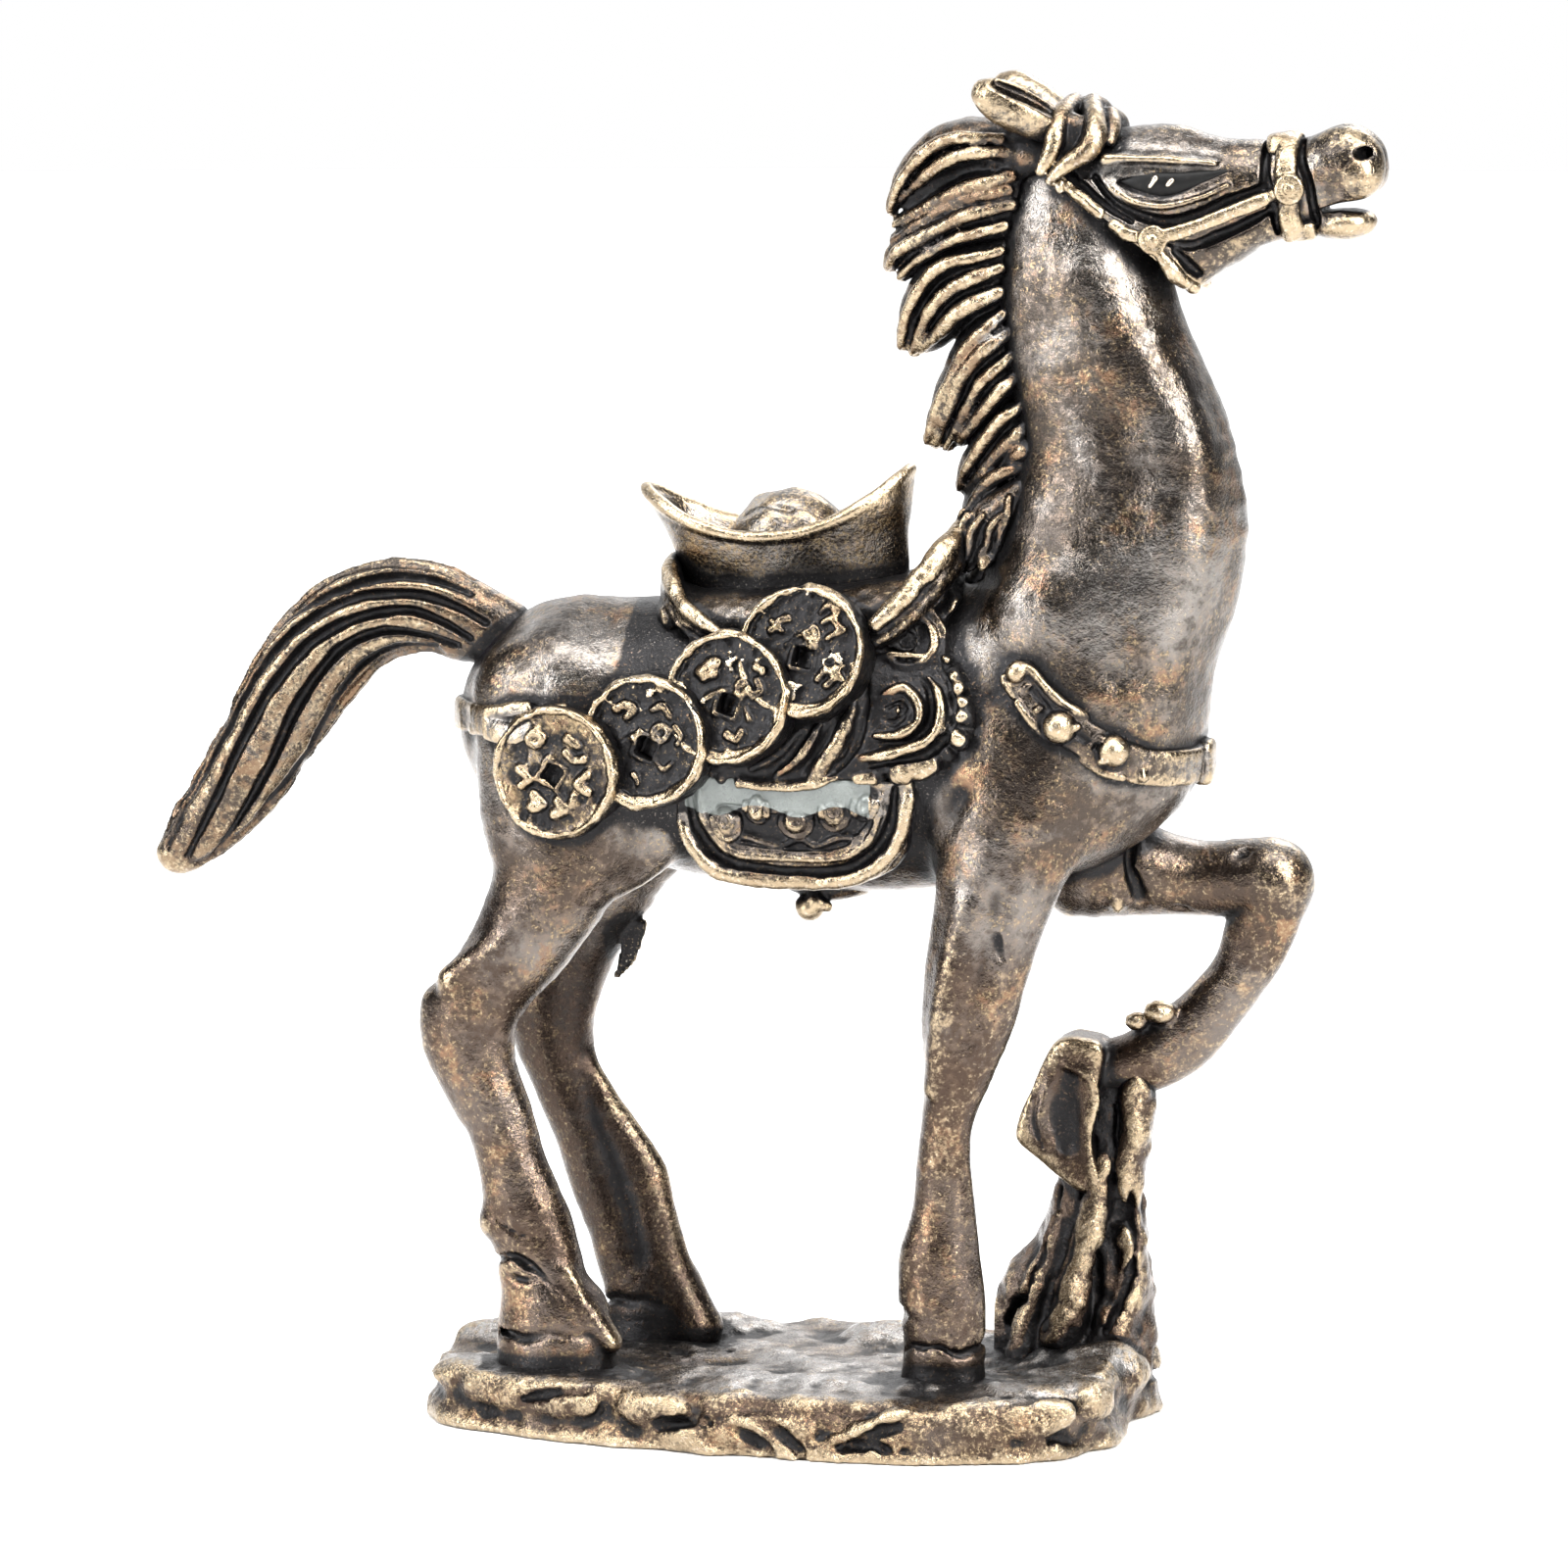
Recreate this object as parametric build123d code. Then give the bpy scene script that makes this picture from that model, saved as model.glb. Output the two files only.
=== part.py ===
"""Cast bronze horse figurine carrying a boat-shaped ingot and strings of coins.

Row frame, millimetres: +X towards the horse's head, +Y towards its left side, +Z up.
The origin lies on the base's flat underside, which the statue rests on, near its middle.
Every node is one casting or one soldered-on ornament. Neighbours meet face to face:
the piece that lies on top is cut back by the piece that it lies on.
"""

from build123d import *
import math
import os

# ---------------------------------------------------------------- driving dimensions
BASE_TOP = 2.2              # height of the rock surface that the hooves stand on
BASE_EDGE_ROUND = 0.5
HOOF_HEIGHT = 2.3
HOOF_LAP = 0.6              # how far a hoof reaches up round its pastern before it is cut back

RIGHT_LEGS_Y = -3.3
LEFT_LEGS_Y = 3.3
BARREL_HALF_WIDTH = 4.2
BACK_Z = 30.4
BELLY_Z = 19.9

COIN_RADIUS = 2.45
COIN_DEPTH = 1.9            # outer face to deepest backing, before it is cut to what it lies on
COIN_RIM = 0.33
COIN_DISH = 0.2             # depth of the field inside the rim
COIN_HOLE = 1.0             # side of the square hole
COIN_LEAN = 8.0             # degrees that each coin leans over the next one

CLOTH_FACE_Y = 4.85         # outer faces of the flat panels on the flanks
SKIRT_FACE_Y = 4.5
SKIRT_LEAN = 12.0           # degrees, top edge inwards
FENDER_FACE_Y = 5.1
SADDLE_THICKNESS = 1.0
STRAP_THICKNESS = 0.55
STRAP_WIDTH = 1.25
RIM_ROD = 0.48              # radius of the pommel and cantle ridges

INGOT_MIDDLE_X = 0.8
INGOT_FOOT_Z = 30.4
INGOT_PITCH = -4.5          # degrees; the end near the head rides a little higher
INGOT_RIM_ARC = 7.5         # radius of the dip between the raised ends
INGOT_RIM_LOW_Z = 33.0

SECTION_POINTS = 12         # points on each rounded cross section
CRUMB = 0.02                # mm3; smaller lumps left by a cut are dropped

# ---------------------------------------------------------------- horse stations
TRUNK = [                   # x, z, half height, half width
    (-11.0, 26.0, 2.3, 2.0),
    (-9.8, 25.6, 4.2, 3.5),
    (-6.5, 25.2, 5.3, BARREL_HALF_WIDTH),
    (-1.5, (BACK_Z + BELLY_Z) / 2, (BACK_Z - BELLY_Z) / 2, BARREL_HALF_WIDTH),
    (4.0, 25.1, 5.3, BARREL_HALF_WIDTH),
    (9.0, 25.4, 5.6, BARREL_HALF_WIDTH),
    (12.8, 25.4, 4.5, 3.7),
    (15.0, 25.2, 2.7, 2.5),
]
NECK = [                    # x, y, z, half depth, half width
    (10.6, 0, 23.8, 4.4, 3.3),
    (11.2, 0, 26.5, 5.0, 3.6),
    (12.6, 0, 30.0, 5.0, 3.5),
    (13.2, 0, 33.5, 4.4, 3.1),
    (12.8, 0, 37.0, 4.0, 2.7),
    (12.0, 0, 40.5, 3.6, 2.4),
    (11.5, 0, 43.6, 3.2, 2.1),
    (11.7, 0, 46.4, 2.4, 1.7),
]
HEAD = [                    # x, z, half height, half width
    (11.0, 46.2, 1.7, 1.4),
    (12.6, 45.3, 2.7, 1.9),
    (14.8, 44.9, 3.2, 2.1),
    (16.6, 45.1, 2.8, 1.9),
    (18.4, 45.6, 2.0, 1.55),
    (20.0, 45.8, 1.9, 1.45),
    (21.6, 46.0, 2.1, 1.5),
    (22.7, 46.1, 1.3, 1.0),
]
FORELEG_RIGHT = [           # x, y, z, half depth, half width
    (9.9, -2.2, 25.0, 3.0, 2.0),
    (9.4, -2.8, 21.2, 2.4, 1.7),
    (8.8, RIGHT_LEGS_Y, 17.0, 2.1, 1.5),
    (8.1, RIGHT_LEGS_Y, 13.7, 1.5, 1.25),
    (7.3, RIGHT_LEGS_Y, 10.6, 1.0, 1.0),
    (7.1, RIGHT_LEGS_Y, 8.6, 1.1, 1.0),
    (7.1, RIGHT_LEGS_Y, 6.4, 1.4, 1.25),
    (7.3, RIGHT_LEGS_Y, BASE_TOP + HOOF_HEIGHT, 1.35, 1.25),
]
HINDLEG_RIGHT = [
    (-5.9, -1.8, 27.0, 2.0, 1.3),
    (-6.2, -2.3, 24.0, 3.7, 1.9),
    (-7.2, -2.8, 20.6, 2.7, 1.75),
    (-8.7, RIGHT_LEGS_Y, 17.3, 1.8, 1.4),
    (-10.2, RIGHT_LEGS_Y, 14.8, 1.8, 1.3),
    (-9.6, RIGHT_LEGS_Y, 12.0, 1.4, 1.15),
    (-8.8, RIGHT_LEGS_Y, 9.8, 1.3, 1.1),
    (-8.0, RIGHT_LEGS_Y, 7.4, 1.7, 1.3),
    (-7.4, RIGHT_LEGS_Y, BASE_TOP + HOOF_HEIGHT, 1.6, 1.3),
]
HINDLEG_LEFT = [
    (-5.6, 1.8, 27.0, 2.0, 1.3),
    (-5.8, 2.3, 24.0, 3.5, 1.9),
    (-6.5, 2.8, 19.8, 2.3, 1.7),
    (-8.0, LEFT_LEGS_Y, 16.4, 1.6, 1.3),
    (-8.8, LEFT_LEGS_Y, 13.8, 1.5, 1.2),
    (-8.2, LEFT_LEGS_Y, 11.0, 1.25, 1.05),
    (-7.1, LEFT_LEGS_Y, 8.4, 1.2, 1.05),
    (-6.0, LEFT_LEGS_Y, 6.1, 1.4, 1.2),
    (-5.4, LEFT_LEGS_Y, BASE_TOP + HOOF_HEIGHT, 1.5, 1.25),
]
RAISED_LEG_Y = 3.0
KNEE = (18.5, RAISED_LEG_Y, 20.0)
KNEE_RADIUS = 1.5
FOREARM_LEFT = [            # the raised leg, shoulder to knee
    (11.4, 2.3, 21.6, 2.4, 1.7),
    (13.8, 2.8, 20.4, 1.6, 1.45),
    (16.2, RAISED_LEG_Y, 20.2, 1.5, 1.35),
    (*KNEE, 1.5, 1.35),
]
CANNON_LEFT = [             # the raised leg, knee to pastern
    (*KNEE, 1.4, 1.3),
    (17.7, RAISED_LEG_Y, 17.6, 1.25, 1.15),
    (16.4, RAISED_LEG_Y, 15.6, 1.25, 1.1),
    (14.6, RAISED_LEG_Y, 14.2, 1.45, 1.2),
    (12.7, RAISED_LEG_Y, 13.3, 1.0, 1.0),
]
HOOF_RAISED = [             # folded back, sole towards the tail
    (13.2, RAISED_LEG_Y, 13.5, 1.1, 1.1),
    (11.4, RAISED_LEG_Y, 12.4, 1.55, 1.35),
    (9.9, RAISED_LEG_Y, 11.5, 2.1, 1.6),
]
TAIL = [
    (-10.2, 0, 28.6, 1.0, 1.0),
    (-12.7, 0, 29.7, 1.45, 1.3),
    (-15.2, 0, 29.6, 1.8, 1.5),
    (-17.5, 0, 27.7, 1.9, 1.6),
    (-19.2, 0, 24.9, 1.8, 1.5),
    (-21.0, 0, 22.2, 1.4, 1.2),
    (-22.6, 0, 20.1, 0.9, 0.8),
]
STANDING_HOOVES = {         # node: x, y, half length at the coronet, half length on the ground
    "hoof_front_right": (7.4, RIGHT_LEGS_Y, 1.35, 1.65),
    "hoof_rear_right": (-7.1, RIGHT_LEGS_Y, 1.95, 2.4),
    "hoof_rear_left": (-4.9, LEFT_LEGS_Y, 1.6, 2.2),
}
MANE = {                    # node: locks, each from the crest down to its point
    "mane_upper": [
        [(9.9, 0.2, 46.6, 1.4, 1.1), (7.4, 0, 46.7, 1.1, 1.0), (5.3, 0, 45.3, 0.45, 0.5)],
        [(9.6, -0.2, 44.4, 1.3, 1.2), (7.0, 0, 44.2, 1.0, 1.0), (4.8, 0, 42.9, 0.45, 0.5)],
    ],
    "mane_middle": [
        [(9.5, -0.3, 42.0, 1.4, 1.3), (7.0, 0, 41.1, 1.1, 1.0), (5.1, 0, 39.6, 0.45, 0.5)],
        [(9.6, -0.4, 39.6, 1.6, 1.4), (7.6, 0, 38.0, 1.2, 1.1), (6.0, 0, 35.9, 0.45, 0.5)],
    ],
    "mane_lower": [
        [(10.2, -0.5, 37.0, 1.5, 1.5), (8.5, 0, 35.9, 1.1, 1.2), (7.2, 0, 34.5, 0.45, 0.5)],
        [(10.0, -0.6, 34.7, 1.2, 1.6), (8.8, -0.3, 33.4, 0.9, 1.2), (7.9, -0.3, 32.1, 0.4, 0.5)],
    ],
}
STUMP = [                   # rock pillar under the raised fetlock
    (12.0, 3.4, BASE_TOP - 0.4, 2.9, 2.6),
    (12.0, 3.4, 4.2, 2.6, 2.3),
    (12.3, 3.3, 7.6, 1.9, 1.9),
    (12.9, 3.2, 10.4, 1.3, 1.5),
    (13.4, 3.1, 12.9, 0.9, 1.2),
]
BASE_OUTLINE = [            # x, y; walked anticlockwise from the front right
    (13.6, -3.6), (13.7, 1.0), (14.0, 4.6), (11.0, 7.2), (5.0, 7.9), (-1.5, 7.6), (-7.0, 7.4),
    (-11.6, 5.6), (-12.4, 0.8), (-11.4, -4.2), (-6.0, -6.6), (0.0, -7.8), (6.0, -8.1), (11.2, -6.8),
]
BASE_LUMPS = [              # x, y, radius of the rocks that stand out of the slab
    (-11.2, 4.6, 1.7), (-3.4, 6.2, 1.5), (12.6, 5.2, 1.8), (8.6, 5.4, 1.6), (-2.2, 3.8, 0.9),
]

# ---------------------------------------------------------------- tack places, right side
COINS = [                   # x, z, middle of the outer face from the midline, lean inwards at the top
    (-6.7, 24.5, 5.0, 2.0),
    (-3.4, 25.8, 5.25, 6.0),
    (-0.4, 27.5, 5.3, 12.0),
    (2.3, 29.2, 4.75, 16.0),
]
SHOULDER_COIN = (5.7, 29.3, 4.5, 22.0)
SHOULDER_COIN_RADIUS = 1.4
CLOTH = (2.3, 23.9, 8.2, 6.6, 1.6)       # x, z, length, drop, corner radius
HEM_WIDTH = 0.55
SKIRT = (1.3, 27.4, 3.6, 3.5)            # x, z, half length, half drop
FENDER = (6.3, 26.5, 1.95, 2.05)
POMMEL = [(4.2, -4.0, 29.6), (5.6, -3.4, 31.1), (6.9, -1.9, 32.8), (7.3, 0, 33.4)]
CANTLE = [(-0.4, -4.0, 29.3), (-2.1, -3.0, 30.5), (-3.2, -1.6, 31.3), (-3.5, 0, 31.6)]
COLLAR_POINT = (12.4, 0, 26.7)
COLLAR_TILT = 24.6                        # degrees, falling towards the breast
CRUPPER_Z = 25.9
NOSEBAND_X = 19.3
NOSE_ROSETTE = (19.4, 45.9)
CHEEK_ROSETTE = (14.7, 44.1)
CROWN_END = (12.3, 45.7)
THROAT_END = (16.0, 42.4)


# ---------------------------------------------------------------- shape helpers
def section(centre, along, half_deep, half_wide):
    """Rounded cross section square to along: half_deep in the XZ plane, half_wide across the horse."""
    normal = Vector(*along).normalized()
    deep = Vector(0, 1, 0).cross(normal).normalized()
    wide = normal.cross(deep)
    points = []
    for i in range(SECTION_POINTS):
        angle = 2 * math.pi * i / SECTION_POINTS
        offset = deep * (half_deep * math.cos(angle)) + wide * (half_wide * math.sin(angle))
        points.append(Vector(*centre) + offset)
    return make_face(Spline(*points, periodic=True).edges())


def limb(stations, grow=0.0):
    """Smooth solid through stations of (x, y, z, half_deep, half_wide), each square to the path."""
    centres = [Vector(*s[:3]) for s in stations]
    rings = []
    for i, (x, y, z, deep, wide) in enumerate(stations):
        before = centres[max(i - 1, 0)]
        after = centres[min(i + 1, len(centres) - 1)]
        rings.append(section((x, y, z), tuple(after - before), deep + grow, wide + grow))
    return loft(rings).solid()


def barrel(stations, grow=0.0):
    """Solid along X through upright stations of (x, z, half_height, half_width), grown all round."""
    rings = [section((x, 0, z), (1, 0, 0), high + grow, wide + grow) for x, z, high, wide in stations]
    return loft(rings).solid()


def biggest(shape):
    """The largest solid of a shape, for a piece that stays in one lump."""
    return max(shape.solids(), key=lambda s: s.volume)


def less(piece, *others):
    """piece cut back by others, keeping every lump but the crumbs."""
    for other in others:
        piece = piece - other
    lumps = [s for s in piece.solids() if s.volume > CRUMB]
    return lumps[0] if len(lumps) == 1 else Compound(children=lumps)


def flank_plane(x, z, face_y, lean=0.0, turn=0.0):
    """Plane on the right flank facing outwards. lean tips its top inwards and turn brings its front out."""
    plane = Plane(origin=(x, -face_y, z), x_dir=(1, 0, 0), z_dir=(0, -1, 0))
    return plane.rotated((-lean, turn, 0))


def panel(x, z, face_y, depth, sketch, lean=0.0, turn=0.0):
    """Plate with its outer face on the right flank, reaching depth inwards."""
    return extrude(flank_plane(x, z, face_y, lean, turn) * sketch, amount=-depth).solid()


def bar(start, end, width, face_y, depth):
    """Round-ended strap between two (x, z) points on the right side."""
    (x0, z0), (x1, z1) = start, end
    angle = math.degrees(math.atan2(z1 - z0, x1 - x0))
    sketch = Rot(0, 0, angle) * SlotCenterToCenter(math.hypot(x1 - x0, z1 - z0), width)
    return panel((x0 + x1) / 2, (z0 + z1) / 2, face_y, depth, sketch)


def arch(points, radius):
    """Round rod through points on the right, over the top and down the left."""
    route = points + [(x, -y, z) for x, y, z in reversed(points[:-1])]
    path = Spline(*route)
    return sweep(Plane(path @ 0, z_dir=path % 0) * Circle(radius), path).solid()


def ellipsoid(centre, half_x, half_y, half_z):
    return Pos(*centre) * scale(Sphere(1), by=(half_x, half_y, half_z))


def mirrored(shape):
    """The same piece on the left side."""
    return mirror(shape, about=Plane.XZ)


# ---------------------------------------------------------------- horse
def head_casting():
    """Head with the lips parted and a nostril on each side."""
    mouth = Box(3.2, 8.0, 0.42)
    head = barrel(HEAD) - Pos(22.2, 0, 45.1) * Rot(0, -5, 0) * mouth
    for sign in (-1, 1):
        head = head - Pos(22.1, sign * 1.4, 47.1) * Rot(90, 0, 0) * Cylinder(0.25, 1.2)
    return biggest(head)


def raised_leg():
    """Left foreleg: forearm level, knee bent, cannon folded back."""
    knee = Pos(*KNEE) * Sphere(KNEE_RADIUS)
    return biggest(limb(FOREARM_LEFT) + knee + limb(CANNON_LEFT))


def standing_hoof(x, y, coronet, ground):
    """Hoof flared towards the rock that it stands on, lapping up round the pastern."""
    top = BASE_TOP + HOOF_HEIGHT + HOOF_LAP
    middle = BASE_TOP + HOOF_HEIGHT * 0.6
    return limb(
        [
            (x, y, top, coronet * 0.98, coronet * 0.82),
            (x, y, middle, coronet, coronet * 0.9),
            (x, y, BASE_TOP, ground, ground * 0.75),
        ]
    )


def ear():
    """Leaf-shaped right ear, laid back beside the poll."""
    return limb(
        [
            (11.4, -1.2, 47.0, 0.7, 0.6),
            (9.8, -1.7, 48.2, 0.85, 0.7),
            (8.1, -2.0, 49.2, 0.4, 0.35),
        ]
    )


def forelock_lock():
    """Lock combed down from the poll to the right of the brow."""
    return limb(
        [
            (12.2, -0.2, 48.2, 0.7, 0.8),
            (12.9, -1.3, 47.9, 0.65, 0.6),
            (12.6, -2.1, 46.9, 0.35, 0.35),
        ]
    )


def flesh_nodes():
    """The horse itself: trunk, neck, head, legs, hooves, tail, ears, forelock, mane and eyes."""
    nodes = {"trunk": barrel(TRUNK)}
    trunk = nodes["trunk"]
    neck = nodes["neck"] = biggest(limb(NECK) - trunk)
    head = nodes["head"] = biggest(head_casting() - neck)
    nodes["foreleg_right"] = biggest(limb(FORELEG_RIGHT) - trunk - neck)
    nodes["foreleg_left"] = biggest(raised_leg() - trunk - neck)
    nodes["hindleg_right"] = biggest(limb(HINDLEG_RIGHT) - trunk)
    nodes["hindleg_left"] = biggest(limb(HINDLEG_LEFT) - trunk)
    legs = {
        "hoof_front_right": "foreleg_right",
        "hoof_rear_right": "hindleg_right",
        "hoof_rear_left": "hindleg_left",
    }
    for name, leg in legs.items():
        nodes[name] = biggest(standing_hoof(*STANDING_HOOVES[name]) - nodes[leg])
    nodes["hoof_front_left"] = biggest(limb(HOOF_RAISED) - nodes["foreleg_left"])
    nodes["tail"] = biggest(limb(TAIL) - trunk)
    ear_right = nodes["ear_right"] = biggest(ear() - head - neck)
    nodes["ear_left"] = mirrored(ear_right)
    lock = biggest(forelock_lock() - head - neck - ear_right)
    right_half = biggest(lock & Pos(0, -5, 45) * Box(60, 10, 20))
    nodes["forelock"] = biggest(right_half + mirrored(right_half))
    above = []
    for name, locks in MANE.items():
        fused = limb(locks[0])
        for stations in locks[1:]:
            fused = fused + limb(stations)
        ears = (ear_right, nodes["ear_left"])
        nodes[name] = less(fused, neck, head, *ears, *above)
        above.append(nodes[name])
    eye = ellipsoid((15.3, -1.85, 46.1), 1.5, 0.45, 0.5)
    nodes["eye_right"] = biggest(eye - head)
    nodes["eye_left"] = mirrored(nodes["eye_right"])
    return nodes


# ---------------------------------------------------------------- rock
def rock_nodes(horse):
    """The slab that the horse stands on and the pillar that carries its raised foreleg."""
    slab = extrude(make_face(Spline(*BASE_OUTLINE, periodic=True).edges()), amount=BASE_TOP)
    slab = fillet(slab.edges().group_by(Axis.Z)[-1], BASE_EDGE_ROUND)
    above_floor = Pos(0, 0, 5) * Box(60, 60, 10)
    for x, y, radius in BASE_LUMPS:
        slab = slab + (ellipsoid((x, y, BASE_TOP - 0.3), radius, radius * 0.8, 0.9) & above_floor)
    hooves = [horse[name] for name in STANDING_HOOVES]
    base = less(slab, *hooves)
    stump = biggest(limb(STUMP) - horse["foreleg_left"] - horse["hoof_front_left"] - base)
    return {"rock_base": base, "rock_stump": stump}


# ---------------------------------------------------------------- tack
def coin(x, z, face_y, lean, radius=COIN_RADIUS, turn=COIN_LEAN):
    """Coin with a raised rim and a square hole, deep enough to be cut to what it lies on."""
    blank = panel(x, z, face_y, COIN_DEPTH, Circle(radius), lean, turn)
    field = panel(x, z, face_y, COIN_DISH, Circle(radius - COIN_RIM), lean, turn)
    side = COIN_HOLE * radius / COIN_RADIUS
    hole = panel(x, z, face_y, 3 * COIN_DISH, Rot(0, 0, 45) * Rectangle(side, side), lean, turn)
    return blank - field - hole


def saddle_nodes(horse):
    """Cloths, skirts, fenders, seat, pommel and cantle. The right side is made and then mirrored."""
    trunk, neck = horse["trunk"], horse["neck"]
    x, z, length, drop, corner = CLOTH
    cloth = panel(x, z, CLOTH_FACE_Y, 2.4, RectangleRounded(length, drop, corner))
    cloth = biggest(cloth - trunk - horse["foreleg_right"])
    hem_outline = RectangleRounded(length, drop, corner) - RectangleRounded(
        length - 2 * HEM_WIDTH, drop - 2 * HEM_WIDTH, corner - HEM_WIDTH
    )
    hem = biggest(panel(x, z, CLOTH_FACE_Y + 0.3, 0.6, hem_outline) - cloth)
    seat_room = Pos(1.6, 0, 31.0) * Box(9.6, 12.0, 6.0)
    seat = biggest((barrel(TRUNK, SADDLE_THICKNESS) & seat_room) - trunk - neck)
    x, z, half_length, half_drop = SKIRT
    skirt = panel(x, z, SKIRT_FACE_Y, 2.4, Ellipse(half_length, half_drop), SKIRT_LEAN)
    skirt = biggest(skirt - trunk - cloth - hem - seat)
    x, z, half_length, half_drop = FENDER
    fender = panel(x, z, FENDER_FACE_Y, 1.9, Ellipse(half_length, half_drop))
    fender = biggest(fender - trunk - cloth - hem - skirt - seat - horse["foreleg_right"])
    sides = [skirt, mirrored(skirt), fender, mirrored(fender)]
    cantle = biggest(arch(CANTLE, RIM_ROD) - trunk - seat - skirt - mirrored(skirt))
    pommel = biggest(less(arch(POMMEL, RIM_ROD), trunk, neck, seat, *sides))
    petals = []
    for place in (-2.2, -0.75, 0.75, 2.2):
        petal = panel(CLOTH[0] + place, 22.6 + 0.12 * abs(place), CLOTH_FACE_Y + 0.25, 0.5, Ellipse(0.5, 0.75))
        petals.append(biggest(petal - cloth - hem - skirt))
    lotus = Compound(children=petals)
    nodes = {"saddle_seat": seat, "saddle_cantle": cantle, "saddle_pommel": pommel}
    pairs = {
        "saddlecloth": cloth,
        "saddlecloth_hem": hem,
        "lotus_relief": lotus,
        "saddle_skirt": skirt,
        "saddle_fender": fender,
    }
    for name, piece in pairs.items():
        nodes[f"{name}_right"] = piece
        nodes[f"{name}_left"] = mirrored(piece)
    return nodes


def strap_nodes(horse):
    """Breast collar, crupper and girth knot: bands grown from the body and cut to width."""
    trunk, neck = horse["trunk"], horse["neck"]
    grown = barrel(TRUNK, STRAP_THICKNESS) + limb(NECK, STRAP_THICKNESS)
    band = Pos(*COLLAR_POINT) * Rot(0, COLLAR_TILT, 0) * Pos(2.0, 0, 0) * Box(13.0, 14.0, STRAP_WIDTH)
    legs = (horse["foreleg_right"], horse["foreleg_left"])
    collar = biggest(less(grown & band, trunk, neck, *legs))
    rump_end = Pos(-11.2, 0, CRUPPER_Z) * Box(0.9, 5.0, 4.0)
    band = Pos(-8.6, 0, CRUPPER_Z) * Box(8.0, 14.0, STRAP_WIDTH)
    crupper = biggest(((barrel(TRUNK, STRAP_THICKNESS) + rump_end) & band) - trunk)
    knot = biggest(ellipsoid((2.1, 0, 19.5), 0.7, 0.6, 0.95) - trunk)
    return {"breast_collar": collar, "crupper": crupper, "girth_knot": knot}


def coin_nodes(under, side_pieces):
    """Four coins in a row on each flank, each leaning over the next, and one by each shoulder."""
    nodes = {}
    x, z, face_y, lean = SHOULDER_COIN
    small = coin(x, z, face_y, lean, SHOULDER_COIN_RADIUS, 0.0)
    right = {"shoulder_coin": biggest(less(small, *under, *side_pieces))}
    done = [right["shoulder_coin"]]
    for number in range(len(COINS), 0, -1):
        piece = coin(*COINS[number - 1])
        piece = biggest(less(piece, *under, *side_pieces, *done))
        right[f"coin_{number}"] = piece
        done.append(piece)
    for name, piece in right.items():
        nodes[f"{name}_right"] = piece
        nodes[f"{name}_left"] = mirrored(piece)
    return nodes


def collar_studs(collar, others):
    """Round studs along the breast collar, on both sides."""
    studs = []
    for x, z, face_y in ((9.4, 28.1, 4.5), (12.0, 26.9, 4.35), (14.8, 25.6, 3.4)):
        stud = panel(x, z, face_y + 0.35, 1.4, Circle(0.38))
        stud = biggest(less(stud, collar, *others))
        studs += [stud, mirrored(stud)]
    return Compound(children=studs)


def bridle_nodes(horse):
    """Noseband, cheekpieces, crownpieces, throat straps, rosettes and ear drops."""
    head, neck = horse["head"], horse["neck"]
    skin = (head, neck, horse["ear_right"])
    ring_plane = Plane(origin=(NOSEBAND_X, 0, 45.75), x_dir=(0, 1, 0), z_dir=(1, 0, 0))
    noseband = extrude(ring_plane * Ellipse(1.95, 2.3), amount=0.55, both=True)
    noseband = biggest(noseband - head)
    rosettes = []
    for x, z, face_y in ((*NOSE_ROSETTE, 2.3), (*CHEEK_ROSETTE, 2.5)):
        rosettes.append(biggest(less(panel(x, z, face_y, 1.2, Circle(0.62)), *skin, noseband)))
    straps = {
        "cheekpiece": bar(NOSE_ROSETTE, CHEEK_ROSETTE, 0.7, 2.2, 1.4),
        "crownpiece": bar(CHEEK_ROSETTE, CROWN_END, 0.7, 2.35, 1.4),
        "throat_strap": bar(CHEEK_ROSETTE, THROAT_END, 0.7, 2.35, 1.4),
    }
    nodes = {"noseband": noseband}
    made = []
    for name, piece in straps.items():
        piece = biggest(less(piece, *skin, noseband, *rosettes, *made))
        made.append(piece)
        nodes[f"{name}_right"] = piece
        nodes[f"{name}_left"] = mirrored(piece)
    drops = []
    for z, radius in ((45.95, 0.36), (45.25, 0.28)):
        drop = Pos(10.7, -2.1, z) * Sphere(radius)
        drops.append(biggest(less(drop, *skin, *made)))
    nodes["bridle_rosettes"] = Compound(children=rosettes + [mirrored(r) for r in rosettes])
    nodes["ear_drops"] = Compound(children=drops + [mirrored(d) for d in drops])
    return nodes


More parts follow.
